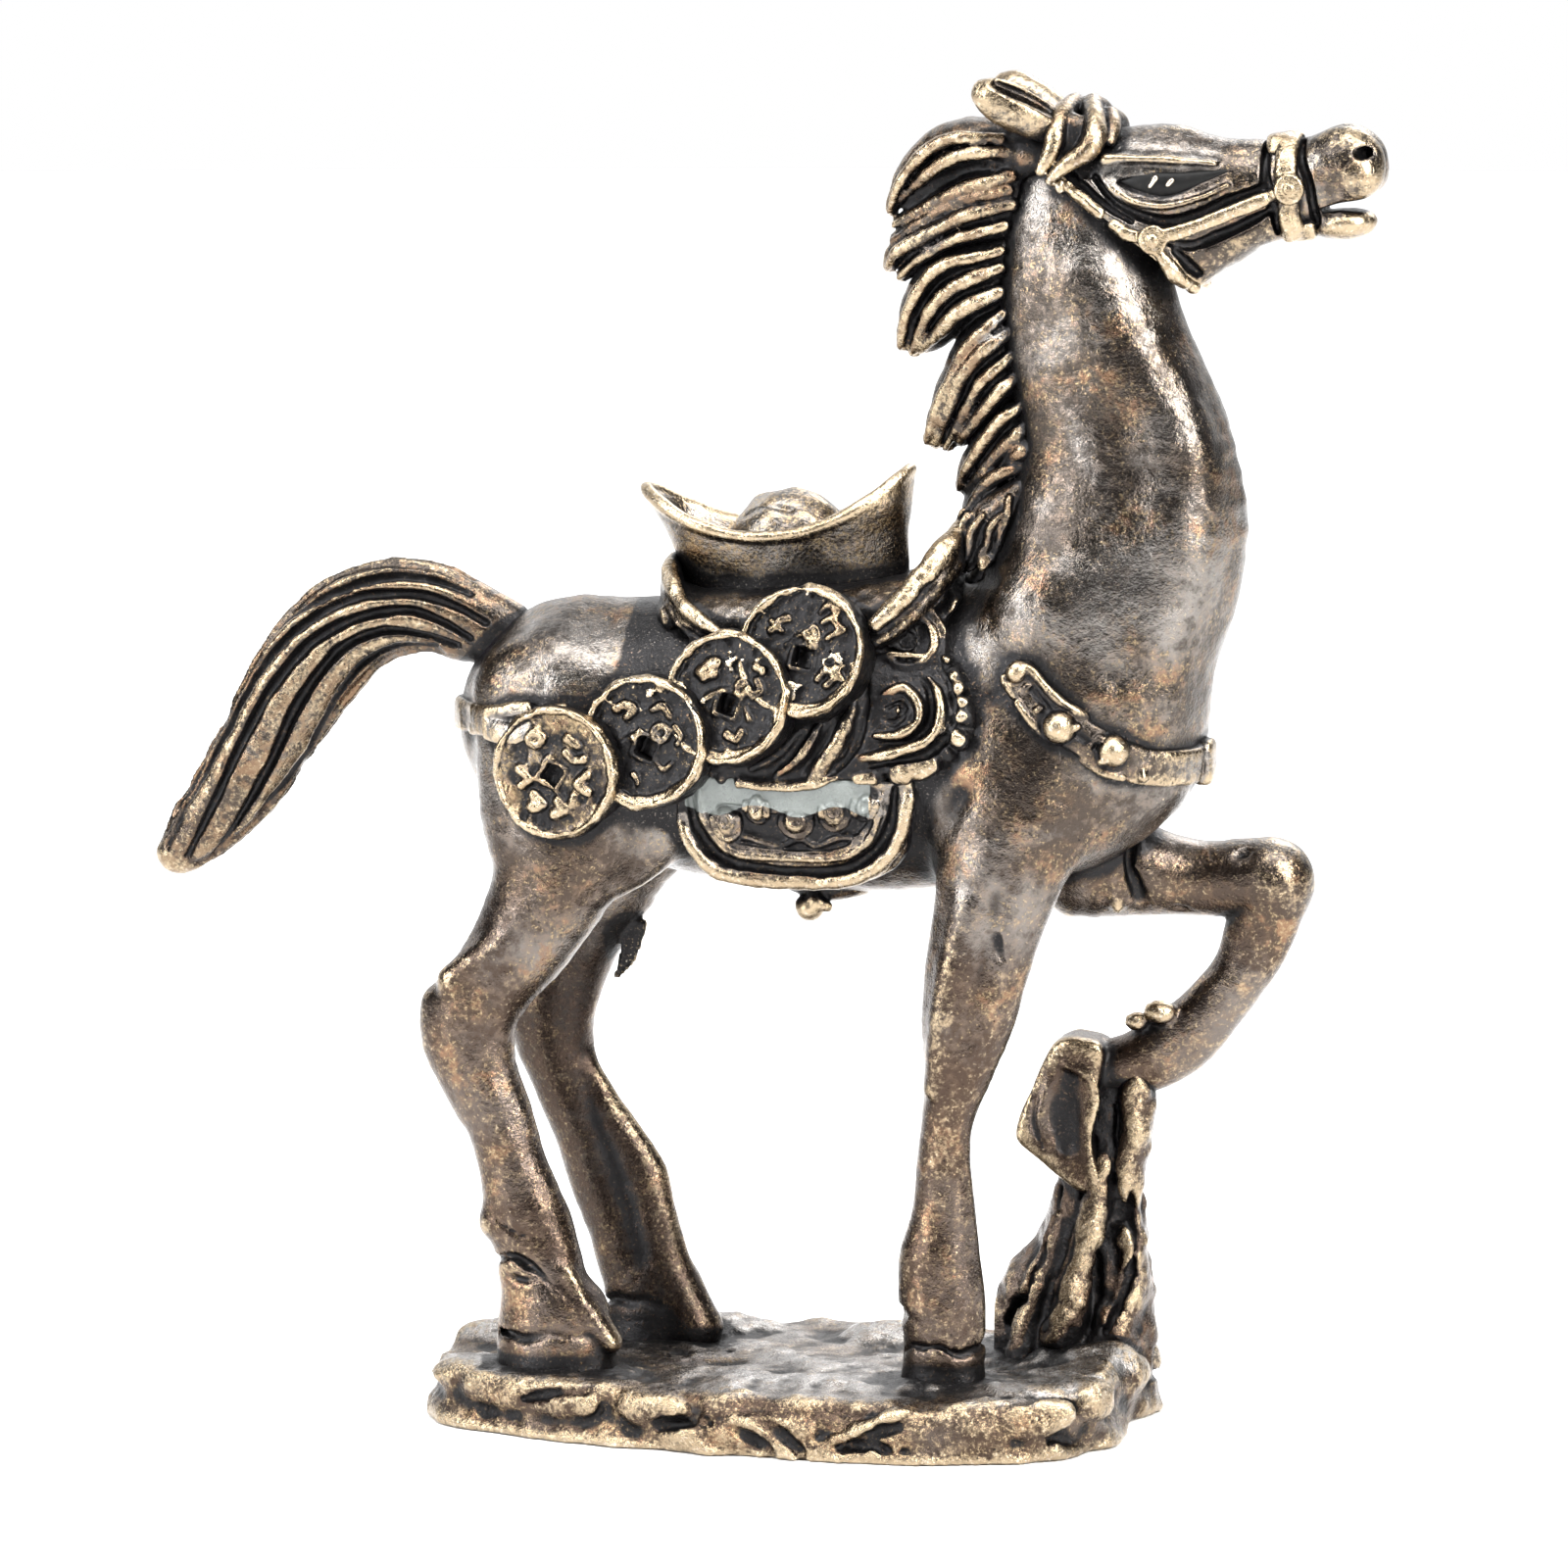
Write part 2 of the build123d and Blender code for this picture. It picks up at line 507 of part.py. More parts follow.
# ---------------------------------------------------------------- ingot
def ingot_nodes(under):
    """Boat-shaped ingot with raised ends and a dome in its well, sitting in the saddle."""
    hull = loft(
        [
            Plane(origin=(INGOT_MIDDLE_X, 0, z)) * Ellipse(half_length, half_width)
            for z, half_length, half_width in ((INGOT_FOOT_Z, 3.3, 1.7), (32.6, 3.9, 2.2), (36.0, 5.3, 2.9))
        ]
    )
    well = loft(
        [
            Plane(origin=(INGOT_MIDDLE_X, 0, z)) * Ellipse(half_length, half_width)
            for z, half_length, half_width in ((32.4, 3.2, 1.5), (33.6, 3.8, 2.0), (36.1, 4.85, 2.5))
        ]
    )
    dip_z = INGOT_RIM_LOW_Z + INGOT_RIM_ARC
    dip = Pos(INGOT_MIDDLE_X, 0, dip_z) * Rot(90, 0, 0) * Cylinder(INGOT_RIM_ARC, 12.0)
    dome = ellipsoid((INGOT_MIDDLE_X, 0, 32.6), 2.0, 1.45, 1.9)
    boat = hull - dip - well
    middle = Pos(INGOT_MIDDLE_X, 0, INGOT_RIM_LOW_Z)
    tilt = middle * Rot(0, INGOT_PITCH, 0) * middle.inverse()
    boat = biggest(less(tilt * boat, *under))
    dome = biggest(less(tilt * dome, boat, *under))
    return {"ingot_boat": boat, "ingot_dome": dome}


def build():
    horse = flesh_nodes()
    rock = rock_nodes(horse)
    saddle = saddle_nodes(horse)
    straps = strap_nodes(horse)
    saddle_bodies = [saddle["saddle_seat"], saddle["saddle_pommel"], saddle["saddle_cantle"]]
    right_side = [piece for name, piece in saddle.items() if name.endswith("_right")]
    horse_under = [horse["trunk"], horse["neck"], horse["foreleg_right"], horse["hindleg_right"]]
    coins = coin_nodes(horse_under + list(straps.values()), saddle_bodies + right_side)
    straps["collar_studs"] = collar_studs(straps["breast_collar"], horse_under)
    bridle = bridle_nodes(horse)
    ingot = ingot_nodes([horse["trunk"], *saddle.values(), coins["coin_4_right"], coins["coin_4_left"]])
    return {**horse, **rock, **saddle, **straps, **coins, **bridle, **ingot}


if __name__ == "__main__":
    os.makedirs("parts", exist_ok=True)
    pieces = build()
    for name, shape in pieces.items():
        export_step(shape, f"parts/{name}.step")
    print(len(pieces), "nodes written")
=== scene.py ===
"""Looks of the cast bronze horse figurine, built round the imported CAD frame.

Every piece is modelled like clay: smooth solids are blended, cut and tooled on a fine grid of signed
distances, and the grid's skin becomes the mesh. Two values per vertex, how proud and how sheltered
it is, drive the antique finish: black in the recesses, worn bright on the ridges.
Modelling is in millimetres in the frame's own axes; meshes are handed to Blender in metres.
"""

import math

import bpy
import numpy as np
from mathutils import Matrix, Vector


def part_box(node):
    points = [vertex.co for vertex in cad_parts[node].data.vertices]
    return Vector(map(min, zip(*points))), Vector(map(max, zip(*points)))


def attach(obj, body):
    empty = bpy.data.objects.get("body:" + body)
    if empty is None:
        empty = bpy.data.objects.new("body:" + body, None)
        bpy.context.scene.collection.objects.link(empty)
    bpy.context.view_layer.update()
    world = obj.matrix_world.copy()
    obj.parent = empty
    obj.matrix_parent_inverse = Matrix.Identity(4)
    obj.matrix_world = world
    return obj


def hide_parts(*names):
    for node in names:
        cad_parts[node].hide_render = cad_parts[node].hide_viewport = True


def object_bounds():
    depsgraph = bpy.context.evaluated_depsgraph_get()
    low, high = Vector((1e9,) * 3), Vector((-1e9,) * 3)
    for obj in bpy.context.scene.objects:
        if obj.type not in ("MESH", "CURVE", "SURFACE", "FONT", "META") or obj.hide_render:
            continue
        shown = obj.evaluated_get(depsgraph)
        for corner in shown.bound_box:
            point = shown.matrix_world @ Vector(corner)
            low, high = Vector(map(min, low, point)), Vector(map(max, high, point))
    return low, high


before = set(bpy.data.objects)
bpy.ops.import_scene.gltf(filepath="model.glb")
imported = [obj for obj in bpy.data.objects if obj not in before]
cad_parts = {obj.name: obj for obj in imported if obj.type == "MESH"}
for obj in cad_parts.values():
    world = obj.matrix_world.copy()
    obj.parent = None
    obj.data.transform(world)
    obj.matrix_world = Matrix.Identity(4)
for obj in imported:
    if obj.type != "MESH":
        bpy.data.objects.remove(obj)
cad_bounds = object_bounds()

MM = 0.001                   # metres in a millimetre
FAR = 5.0                    # distance held where no clay is near
COARSE = 1.0
STEP_BODY = 0.16 * COARSE    # grid steps in millimetres, finer where the modelling is finer
STEP_HEAD = 0.09 * COARSE
STEP_HAIR = 0.1 * COARSE
STEP_TACK = 0.085 * COARSE
STEP_ROCK = 0.15 * COARSE
STEP_SHELTER = 0.2           # grid of the whole statue, for what shelters what
THINNEST = 0.03              # least half width of a limb


# ---------------------------------------------------------------- places taken from the frame
def place(node):
    """Middle and half size of a CAD node, in millimetres."""
    low, high = (np.array(corner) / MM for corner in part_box(node))
    return (low + high) / 2, (high - low) / 2


def between(*nodes, margin=0.0):
    """Lowest and highest corner of several CAD nodes together, in millimetres."""
    boxes = [np.array(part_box(node)) / MM for node in nodes]
    low = np.min([box[0] for box in boxes], axis=0) - margin
    high = np.max([box[1] for box in boxes], axis=0) + margin
    return low, high


# ---------------------------------------------------------------- tables and small helpers
def table(points):
    """Rows of numbers; in text a comma parts them, as in "9 47.6, 7.2 47.5"."""
    if isinstance(points, str):
        points = [[float(word) for word in row.split()] for row in points.split(",")]
    return np.asarray(points, float)


def lines(text):
    """Tables that semicolons part in one text."""
    return [table(part) for part in text.split(";")]


def unit(v):
    v = np.asarray(v, float)
    return v / np.maximum(np.linalg.norm(v, axis=-1, keepdims=True), 1e-9)


def flow(points, pieces=4):
    """Catmull-Rom curve through rows of values, with that many steps to each span."""
    p = table(points)
    if len(p) < 3:
        return p
    ends = np.vstack([2 * p[0] - p[1], p, 2 * p[-1] - p[-2]])
    t = np.linspace(0, 1, pieces, endpoint=False)[:, None]
    rows = []
    for a, b, c, d in zip(ends[:-3], ends[1:-2], ends[2:-1], ends[3:]):
        bend, twist = 2 * a - 5 * b + 4 * c - d, 3 * b - a - 3 * c + d
        rows.append(0.5 * (2 * b + (c - a) * t + bend * t**2 + twist * t**3))
    return np.vstack(rows + [p[-1:]])


def ease(low, high, value):
    """Smooth step of value, from 0 at low to 1 at high."""
    t = np.clip((value - low) / (high - low), 0, 1)
    return t * t * (3 - 2 * t)


def soft_min(a, b, blend):
    """Smaller of two distances, rounded off where they differ by less than blend."""
    if blend <= 0:
        return np.minimum(a, b)
    h = np.maximum(blend - np.abs(a - b), 0) / blend
    return np.minimum(a, b) - h * h * (blend / 4)


def soft_max(a, b, blend):
    return -soft_min(-a, -b, blend)


# ---------------------------------------------------------------- shapes
class Shape:
    """A distance function with the box that it fills."""

    def __init__(self, low, high, distance):
        self.low, self.high, self.distance = np.asarray(low, float), np.asarray(high, float), distance


def limb(stations, normals=None, square=2, pieces=4):
    """Tapering form through (x, y, z, deep, wide): wide lies along the normal, deep across it."""
    rows = table(stations)
    across = np.tile([0.0, 1.0, 0.0], (len(rows), 1)) if normals is None else np.asarray(normals, float)
    rows = flow(np.hstack([rows, across]), pieces)
    rows[:, 3:5] = np.maximum(rows[:, 3:5], THINNEST)
    shapes = []
    for a, b in zip(rows[:-1], rows[1:]):
        along = b[:3] - a[:3]
        length = np.linalg.norm(along)
        if length < 1e-6:
            continue
        u = along / length
        deep = unit(np.cross(a[5:] + b[5:], u))
        wide = np.cross(u, deep)
        reach = max(a[3], a[4], b[3], b[4])

        def distance(x, y, z, a=a, b=b, along=along, length=length, u=u, deep=deep, wide=wide):
            dx, dy, dz = x - a[0], y - a[1], z - a[2]
            t = np.clip((dx * along[0] + dy * along[1] + dz * along[2]) / length**2, 0, 1)
            dx, dy, dz = dx - t * along[0], dy - t * along[1], dz - t * along[2]
            half_deep, half_wide = a[3] + t * (b[3] - a[3]), a[4] + t * (b[4] - a[4])
            cap = np.minimum(half_deep, half_wide)
            return rounded(
                (dx * deep[0] + dy * deep[1] + dz * deep[2], half_deep),
                (dx * wide[0] + dy * wide[1] + dz * wide[2], half_wide),
                (dx * u[0] + dy * u[1] + dz * u[2], cap),
                power=square,
            )

        low, high = np.minimum(a[:3], b[:3]) - reach, np.maximum(a[:3], b[:3]) + reach
        shapes.append(Shape(low, high, distance))
    return shapes


def rounded(*terms, power=2):
    """Distance to the superellipsoid whose terms are (offset, radius)."""
    total, slope = 0.0, 0.0
    for offset, radius in terms:
        q = np.abs(offset) / radius
        total = total + q**power
        slope = slope + (q ** (power - 1) / radius) ** 2
    total = np.maximum(total, 1e-6)
    return (total ** (1 / power) - 1) * total ** (1 - 1 / power) / np.sqrt(np.maximum(slope, 1e-8))


def blob(centre, radii, axis=(1, 0, 0), power=2):
    """Ellipsoid with its first radius along axis and its third nearest to upright."""
    c = np.asarray(centre, float)
    u = unit(axis)
    v = unit(np.cross((0, 0, 1), u))
    w = np.cross(u, v)

    def distance(x, y, z):
        d = (x - c[0], y - c[1], z - c[2])
        offsets = [sum(e * k for e, k in zip(d, way)) for way in (u, v, w)]
        return rounded(*zip(offsets, radii), power=power)

    reach = max(radii)
    return [Shape(c - reach, c + reach, distance)]


def ring(centre, first, second, radius):
    """Round rod bent round an ellipse given by its two half axes."""
    angles = np.radians(np.linspace(0, 360, 41))
    points = np.asarray(centre) + np.outer(np.cos(angles), first) + np.outer(np.sin(angles), second)
    return rod(points, radius)


def rod(points, radius=None, pieces=1):
    """Round rod through points; radius is one value, one per point, or else the points' last column."""
    points = table(points)
    if radius is None:
        points, radius = points[:, :3], points[:, 3]
    radius = np.broadcast_to(np.asarray(radius, float), (len(points),))
    return limb(np.column_stack([points, radius, radius]), pieces=pieces)


def mirrored(shapes):
    """The same shapes on the other side of the horse."""
    return [
        Shape(
            (s.low[0], -s.high[1], s.low[2]),
            (s.high[0], -s.low[1], s.high[2]),
            lambda x, y, z, s=s: s.distance(x, -y, z),
        )
        for s in shapes
    ]


def both(shapes):
    """Shapes on both sides of the horse."""
    return shapes + mirrored(shapes)


def loop(points, pieces=4):
    """Closed smooth outline through points."""
    p = table(points)
    return flow(np.vstack([p[-2:], p, p[:2]]), pieces)[2 * pieces : (len(p) + 2) * pieces]


def fence(points):
    """Flat signed distance to the closed outline through (x, z) points."""
    corners = loop(points)

    def distance(x, z):
        nearest, inside = np.float32(1e9), np.zeros(np.broadcast(x, z).shape, bool)
        for a, b in zip(corners, np.roll(corners, -1, axis=0)):
            ex, ez = b - a
            t = np.clip(((x - a[0]) * ex + (z - a[1]) * ez) / max(ex * ex + ez * ez, 1e-9), 0, 1)
            nearest = np.minimum(nearest, np.hypot(x - a[0] - t * ex, z - a[1] - t * ez))
            if a[1] != b[1]:
                inside ^= ((a[1] > z) != (b[1] > z)) & (x < a[0] + (z - a[1]) / ez * ex)
        return np.where(inside, -nearest, nearest)

    return distance


def welt(under, points, half=None, height=None, tall=1.0, sunk=0.0, square=2, toward=None, pieces=4):
    """Raised line on a clay's skin: through (x, z) on the right flank, or from (x, y, z) toward an axis.

    When half is left out, the last column of points is the half width. The height is tall times as much.
    """
    points = table(points)
    if half is None:
        points, half = points[:, :-1], points[:, -1]
    half = np.broadcast_to(np.asarray(half, float), (len(points),))
    height = half * tall if height is None else np.broadcast_to(np.asarray(height, float), (len(points),))
    rows = flow(np.column_stack([points, half, height]), pieces)
    spots = []
    for row in rows[:, :-2]:
        if len(row) == 2:
            spots.append(under.touch((row[0], under.axes[1][0], row[1]), (0, 1, 0)))
        else:
            spots.append(under.touch(row, (toward[0] - row[0], toward[1] - row[1], 0)))
    spots, normals = under.settle(spots, -sunk)
    return limb(np.column_stack([spots, rows[:, -2:]]), normals, square, pieces=1)


class Plate:
    """A flat on the right flank that faces outwards, leaning inwards at its top, with its own u, v, w."""

    def __init__(self, x, y, z, lean=0.0, turn=0.0):
        lean, turn = math.radians(lean), math.radians(turn)
        self.origin = np.array([x, y, z], float)
        self.u = unit([math.cos(turn), -math.sin(turn), 0])
        self.w = unit([-math.sin(turn) * math.cos(lean), -math.cos(turn) * math.cos(lean), math.sin(lean)])
        upright = np.cross(self.w, self.u)
        self.v = upright if upright[2] > 0 else -upright

    def route(self, points, w=0.0):
        """Places of (u, v) points that stand w proud of the flat."""
        return np.array([self.origin + u * self.u + v * self.v + w * self.w for u, v in points])

    def slab(self, outline, depth, reach, edge=0.12, bulge=0.0):
        """Solid with its face at w = 0 inside outline(u, v), which returns a flat distance."""

        def distance(x, y, z):
            d = (x - self.origin[0], y - self.origin[1], z - self.origin[2])
            u, v, w = (sum(e * k for e, k in zip(d, way)) for way in (self.u, self.v, self.w))
            w = w + bulge * (u * u + v * v)
            return soft_max(outline(u, v), np.abs(w + depth / 2) - depth / 2, edge)

        extent = reach * 1.05 + depth
        return [Shape(self.origin - extent, self.origin + extent, distance)]


def oblong(half_u, half_v, power=2.0):
    """Flat superellipse outline for Plate.slab."""
    return lambda u, v: rounded((u, half_u), (v, half_v), power=power)


# ---------------------------------------------------------------- clay
class Clay:
    """A block of clay: signed distances on a grid, negative inside."""

    def __init__(self, low, high, step):
        self.step = step
        self.axes = [
            np.arange(math.floor(a / step), math.ceil(b / step) + 1, dtype=np.float32) * np.float32(step)
            for a, b in zip(low, high)
        ]
        self.field = np.full([len(axis) for axis in self.axes], FAR, np.float32)

    def window(self, low, high):
        """Slices of the grid between two corners, and the x, y and z of its points."""
        cuts = [
            slice(int(np.searchsorted(axis, a)), int(np.searchsorted(axis, b, "right")))
            for axis, a, b in zip(self.axes, low, high)
        ]
        return tuple(cuts), np.ix_(*[axis[cut] for axis, cut in zip(self.axes, cuts)])

    def gather(self, shapes, margin):
        """Joins shapes sharply in a scratch block over the part of the grid that they reach."""
        low = np.min([s.low for s in shapes], axis=0) - margin
        high = np.max([s.high for s in shapes], axis=0) + margin
        outer, _ = self.window(low, high)
        scratch = np.full([max(0, cut.stop - cut.start) for cut in outer], FAR, np.float32)
        if scratch.size == 0:
            return outer, scratch
        for s in shapes:
            inner, xyz = self.window(np.maximum(s.low - margin, low), np.minimum(s.high + margin, high))
            if any(cut.stop <= cut.start for cut in inner):
                continue
            spot = tuple(slice(i.start - o.start, i.stop - o.start) for i, o in zip(inner, outer))
            scratch[spot] = np.minimum(scratch[spot], s.distance(*xyz))
        return outer, scratch

    def add(self, shapes, blend=0.0):
        """Joins shapes on, with a fillet of about that size."""
        spot, scratch = self.gather(shapes, blend + 4 * self.step)
        self.field[spot] = soft_min(self.field[spot], scratch, blend)
        return self

    def cut(self, shapes, blend=0.0):
        """Takes shapes away, with a rounded edge of about that size."""
        spot, scratch = self.gather(shapes, blend + 4 * self.step)
        self.field[spot] = soft_max(self.field[spot], -scratch, blend)
        return self

    def keep(self, flat):
        """Keeps only the clay where flat(x, y, z) is negative."""
        self.field = np.maximum(self.field, flat(*np.ix_(*self.axes)))
        return self

    def wobble(self, layers):
        """Uneven hand modelling: layers of smooth bumps, each with a size, a depth and a seed."""
        for size, depth, seed in table(layers).tolist():
            counts = [int((axis[-1] - axis[0]) / size) + 3 for axis in self.axes]
            bumps = np.random.default_rng(int(seed)).uniform(-1, 1, counts).astype(np.float32)
            for i, axis in enumerate(self.axes):
                along = (axis - axis[0]) / size
                cell = along.astype(int)
                t = along - cell
                t = (t * t * (3 - 2 * t)).reshape([-1 if k == i else 1 for k in range(3)])
                bumps = np.take(bumps, cell, i) * (1 - t) + np.take(bumps, cell + 1, i) * t
            self.field += (depth * bumps).astype(np.float32)

    def resampled(self, axes):
        """This block's distances on another grid, as the window that it covers and the values."""
        cuts, values = [], self.field
        for i, (mine, other) in enumerate(zip(self.axes, axes)):
            start, stop = np.searchsorted(other, mine[0]), np.searchsorted(other, mine[-1], "right")
            cuts.append(slice(int(start), int(stop)))
            spot = (other[start:stop] - mine[0]) / self.step
            cell = np.clip(spot.astype(int), 0, len(mine) - 2)
            t = (spot - cell).reshape([-1 if k == i else 1 for k in range(3)]).astype(np.float32)
            values = np.take(values, cell, i) * (1 - t) + np.take(values, cell + 1, i) * t
        return tuple(cuts), values

    def sample(self, points, field=None):
        """Distances at points, or another grid's values there."""
        return sample(self.field if field is None else field, self.axes, self.step, points)

    def slope(self, points):
        """Outward direction at each point."""
        reach = self.step * 0.8
        ways = []
        for i in range(3):
            nudge = np.zeros(3)
            nudge[i] = reach
            ways.append(self.sample(points + nudge) - self.sample(points - nudge))
        return unit(np.column_stack(ways))

    def settle(self, points, lift=0.0):
        """Moves points onto the skin, and returns them with the skin's normals."""
        points = np.asarray(points, float)
        for _ in range(12):
            normals = self.slope(points)
            points = points - normals * np.clip(self.sample(points) - lift, -0.5, 0.5)[:, None]
        return points, self.slope(points)

    def touch(self, start, way, reach=14.0):
        """Where a line from start first meets the skin."""
        line = np.asarray(start, float) + np.outer(np.arange(0, reach, self.step * 0.5), unit(way))
        values = self.sample(line)
        inside = np.nonzero(values < 0)[0]
        return line[inside[0] if len(inside) else int(np.argmin(values))]

    def drape(self, under, outline, lift, depth=0.9, edge=0.12):
        """Adds a sheet on both flanks that follows what is under it inside an outline of (x, z)."""
        spot, values = under.resampled(self.axes)
        x, z = self.axes[0][spot[0]], self.axes[2][spot[2]]
        flat = fence(outline)(x[:, None], z[None, :])[:, None, :].astype(np.float32)
        sheet = np.maximum(soft_max(values - lift, flat, edge), -values - depth)
        self.field[spot] = np.minimum(self.field[spot], sheet)
        return self


def sample(field, axes, step, points):
    """Trilinear values of a grid at points."""
    spots = [np.clip((points[:, i] - axes[i][0]) / step, 0, len(axes[i]) - 1.001) for i in range(3)]
    cells = [spot.astype(int) for spot in spots]
    parts = [spot - cell for spot, cell in zip(spots, cells)]
    total = 0.0
    for corner in range(8):
        bits = [(corner >> i) & 1 for i in range(3)]
        weight = 1.0
        for part, bit in zip(parts, bits):
            weight = weight * (part if bit else 1 - part)
        total = total + weight * field[tuple(cell + bit for cell, bit in zip(cells, bits))]
    return total


def blurred(field, cells):
    """Three box blurs in each axis, close to a Gaussian of that many cells."""
    width = max(1, int(round(cells)))
    for axis in range(3):
        for _ in range(3):
            pad = [(0, 0)] * 3
            pad[axis] = (width + 1, width)
            total = np.cumsum(np.pad(field, pad, mode="edge"), axis=axis, dtype=np.float64)
            n = field.shape[axis]
            high = np.take(total, np.arange(2 * width + 1, 2 * width + 1 + n), axis)
            low = np.take(total, np.arange(0, n), axis)
            field = ((high - low) / (2 * width + 1)).astype(np.float32)
    return field


def skin(clay):
    """Closed quad mesh of the clay's surface, one vertex to each grid cell that it crosses."""
    field = clay.field.copy()
    for axis in range(3):
        for end in (0, -1):
            border = [slice(None)] * 3
            border[axis] = end
            field[tuple(border)] = np.maximum(field[tuple(border)], 0.5 * clay.step)
    inside = field < 0
    corners = [((c >> 0) & 1, (c >> 1) & 1, (c >> 2) & 1) for c in range(8)]
    shape = [n - 1 for n in field.shape]
    count = sum(
        inside[i : i + shape[0], j : j + shape[1], k : k + shape[2]].astype(np.uint8) for i, j, k in corners
    )
    cells = np.argwhere((count > 0) & (count < 8))
    index = np.full(shape, -1, np.int32)
    index[tuple(cells.T)] = np.arange(len(cells))
    values = np.stack([field[tuple((cells + corner).T)] for corner in corners], axis=1)
    total, hits = np.zeros((len(cells), 3)), np.zeros((len(cells), 1))
    for a in range(8):
        for bit in range(3):
            b = a | (1 << bit)
            if b == a:
                continue
            va, vb = values[:, a], values[:, b]
            crossed = (va < 0) != (vb < 0)
            t = np.where(crossed, va / np.where(crossed, va - vb, 1), 0)
            spot = np.array(corners[a], float) + t[:, None] * (np.array(corners[b]) - corners[a])
            total += np.where(crossed[:, None], spot, 0)
            hits += crossed[:, None]
    low = np.array([axis[0] for axis in clay.axes], float)
    vertices = low + (cells + total / hits) * clay.step
    faces = []
    for axis in range(3):
        first, second = (axis + 1) % 3, (axis + 2) % 3
        near, far = [slice(1, -1)] * 3, [slice(1, -1)] * 3
        near[axis], far[axis] = slice(0, -1), slice(1, None)
        here, there = inside[tuple(near)], inside[tuple(far)]
        edges = np.argwhere(here != there)
        outward = here[tuple(edges.T)]
        edges += np.array([0 if k == axis else 1 for k in range(3)])
        around = []
        for da, db in ((0, 0), (1, 0), (1, 1), (0, 1)):
            cell = edges.copy()
            cell[:, first] -= da
            cell[:, second] -= db
            around.append(index[tuple(cell.T)])
        quads = np.stack(around, axis=1)
        quads[~outward] = quads[~outward][:, ::-1]
        faces.append(quads)
    return vertices, np.vstack(faces)


# ---------------------------------------------------------------- pieces
pieces = []                  # name, clay, nodes that it stands for, slot, relief


def piece(name, clay, nodes, slot, relief=None):
    """relief(points) is how far points stand above a sunk ground that has kept its black patina."""
    pieces.append((name, clay, nodes, slot, relief))
    return clay


def pair(name, clay, nodes, slot, relief=None):
    """A right-hand piece and its mirror image."""
    other = Clay((0, 0, 0), (0, 0, 0), clay.step)
    other.axes = [clay.axes[0], -clay.axes[1][::-1], clay.axes[2]]
    other.field = clay.field[:, ::-1, :]
    opposite = relief and (lambda points: relief(points * (1, -1, 1)))
    for side, block, over in (("right", clay, relief), ("left", other, opposite)):
        piece(f"{name}_{side}", block, [f"{node}_{side}" for node in nodes], slot, over)


# ---------------------------------------------------------------- horse: trunk, neck and legs
# stations of each limb: x, y, z, half height, half width
TRUNK = """
    -8.9 0 26.5 3 2.4, -7.4 0 25.9 4.4 3.6, -4 0 25.5 4.95 4.15, 0 0 25.1 5.25 4.25, 4 0 25.1 5.3 4.25,
    8 0 25.4 5.3 4.05, 11 0 25.6 4.7 3.6, 12.8 0 25.6 3.2 2.8"""
NECK = """
    11.4 0 25.4 4 3.3, 11.9 0 27.4 4.4 3.6, 12.3 0 29.6 4.6 3.5, 12.9 0 32 4.75 3.3, 13.4 0 34.4 4.45 3,
    13.1 0 37 3.85 2.65, 12.35 0 39.5 3.5 2.35, 11.8 0 42 3.25 2.1, 11.7 0 44.5 2.75 1.85,
    11.6 0 46.6 2 1.5"""
FORELEG_RIGHT = """
    10.2 -2.7 25.4 2.7 1.7, 9.7 -3 23.2 2.8 1.85, 9.35 -3.1 21.2 2.35 1.8, 9 -3.2 19.4 2.1 1.65,
    8.6 -3.3 17.5 1.92 1.5, 8.2 -3.3 15.5 1.68 1.4, 7.85 -3.3 13.5 1.2 1.2, 7.5 -3.3 11.8 .94 1.02,
    7.35 -3.3 10 1.02 .98, 7.3 -3.3 8.2 1.24 1.08, 7.2 -3.3 6.6 1.52 1.25, 7.35 -3.3 4.9 1.6 1.3,
    7.55 -3.3 3.6 1.4 1.2"""
HINDLEG_RIGHT = """
    -6.6 -2.2 26.6 2.6 1.5, -6.6 -2.6 24.6 3.5 1.9, -6.9 -2.8 22.4 3.25 1.95, -7.3 -3 20.4 2.35 1.75,
    -8.3 -3.2 18.3 1.9 1.5, -9.6 -3.3 16.4 1.6 1.35, -10.5 -3.3 14.8 1.78 1.3, -10 -3.3 12.9 1.42 1.2,
    -9.3 -3.3 11.3 1.25 1.1, -8.8 -3.3 9.7 1.22 1.08, -8.3 -3.3 8 1.5 1.2, -7.9 -3.3 6.4 1.55 1.2,
    -7.6 -3.3 4.9 1.65 1.3, -7.35 -3.3 3.4 2.05 1.4"""
HINDLEG_LEFT = """
    -6.1 2.2 26.6 2.6 1.5, -6.1 2.6 24.4 3.4 1.9, -6.3 2.8 21.8 2.95 1.85, -6.8 2.95 19.4 2.1 1.65,
    -7.9 3.2 16.9 1.6 1.35, -8.8 3.3 14.3 1.6 1.25, -8.4 3.3 12 1.28 1.1, -7.7 3.3 10 1.15 1.05,
    -7 3.3 8.2 1.3 1.1, -6.2 3.3 6.2 1.35 1.15, -5.5 3.3 4.6 1.5 1.25, -5 3.3 3.5 1.7 1.3"""
FOREARM_LEFT = """
    11.6 2.3 21 2.4 1.8, 13.6 2.8 20.4 1.7 1.6, 15.6 3 20.15 1.42 1.4, 17.3 3 20.2 1.5 1.4,
    18.35 3 20.15 1.45 1.35"""
CANNON_LEFT = """
    18.35 3 19.9 1.4 1.3, 17.95 3 18.2 1.35 1.15, 17.25 3 16.7 1.12 1.05, 16.2 3 15.3 1.15 1.08,
    15 3 14.1 1.32 1.15, 13.7 3 13.3 1.25 1.12, 12.4 3 13 1.05 1.05"""
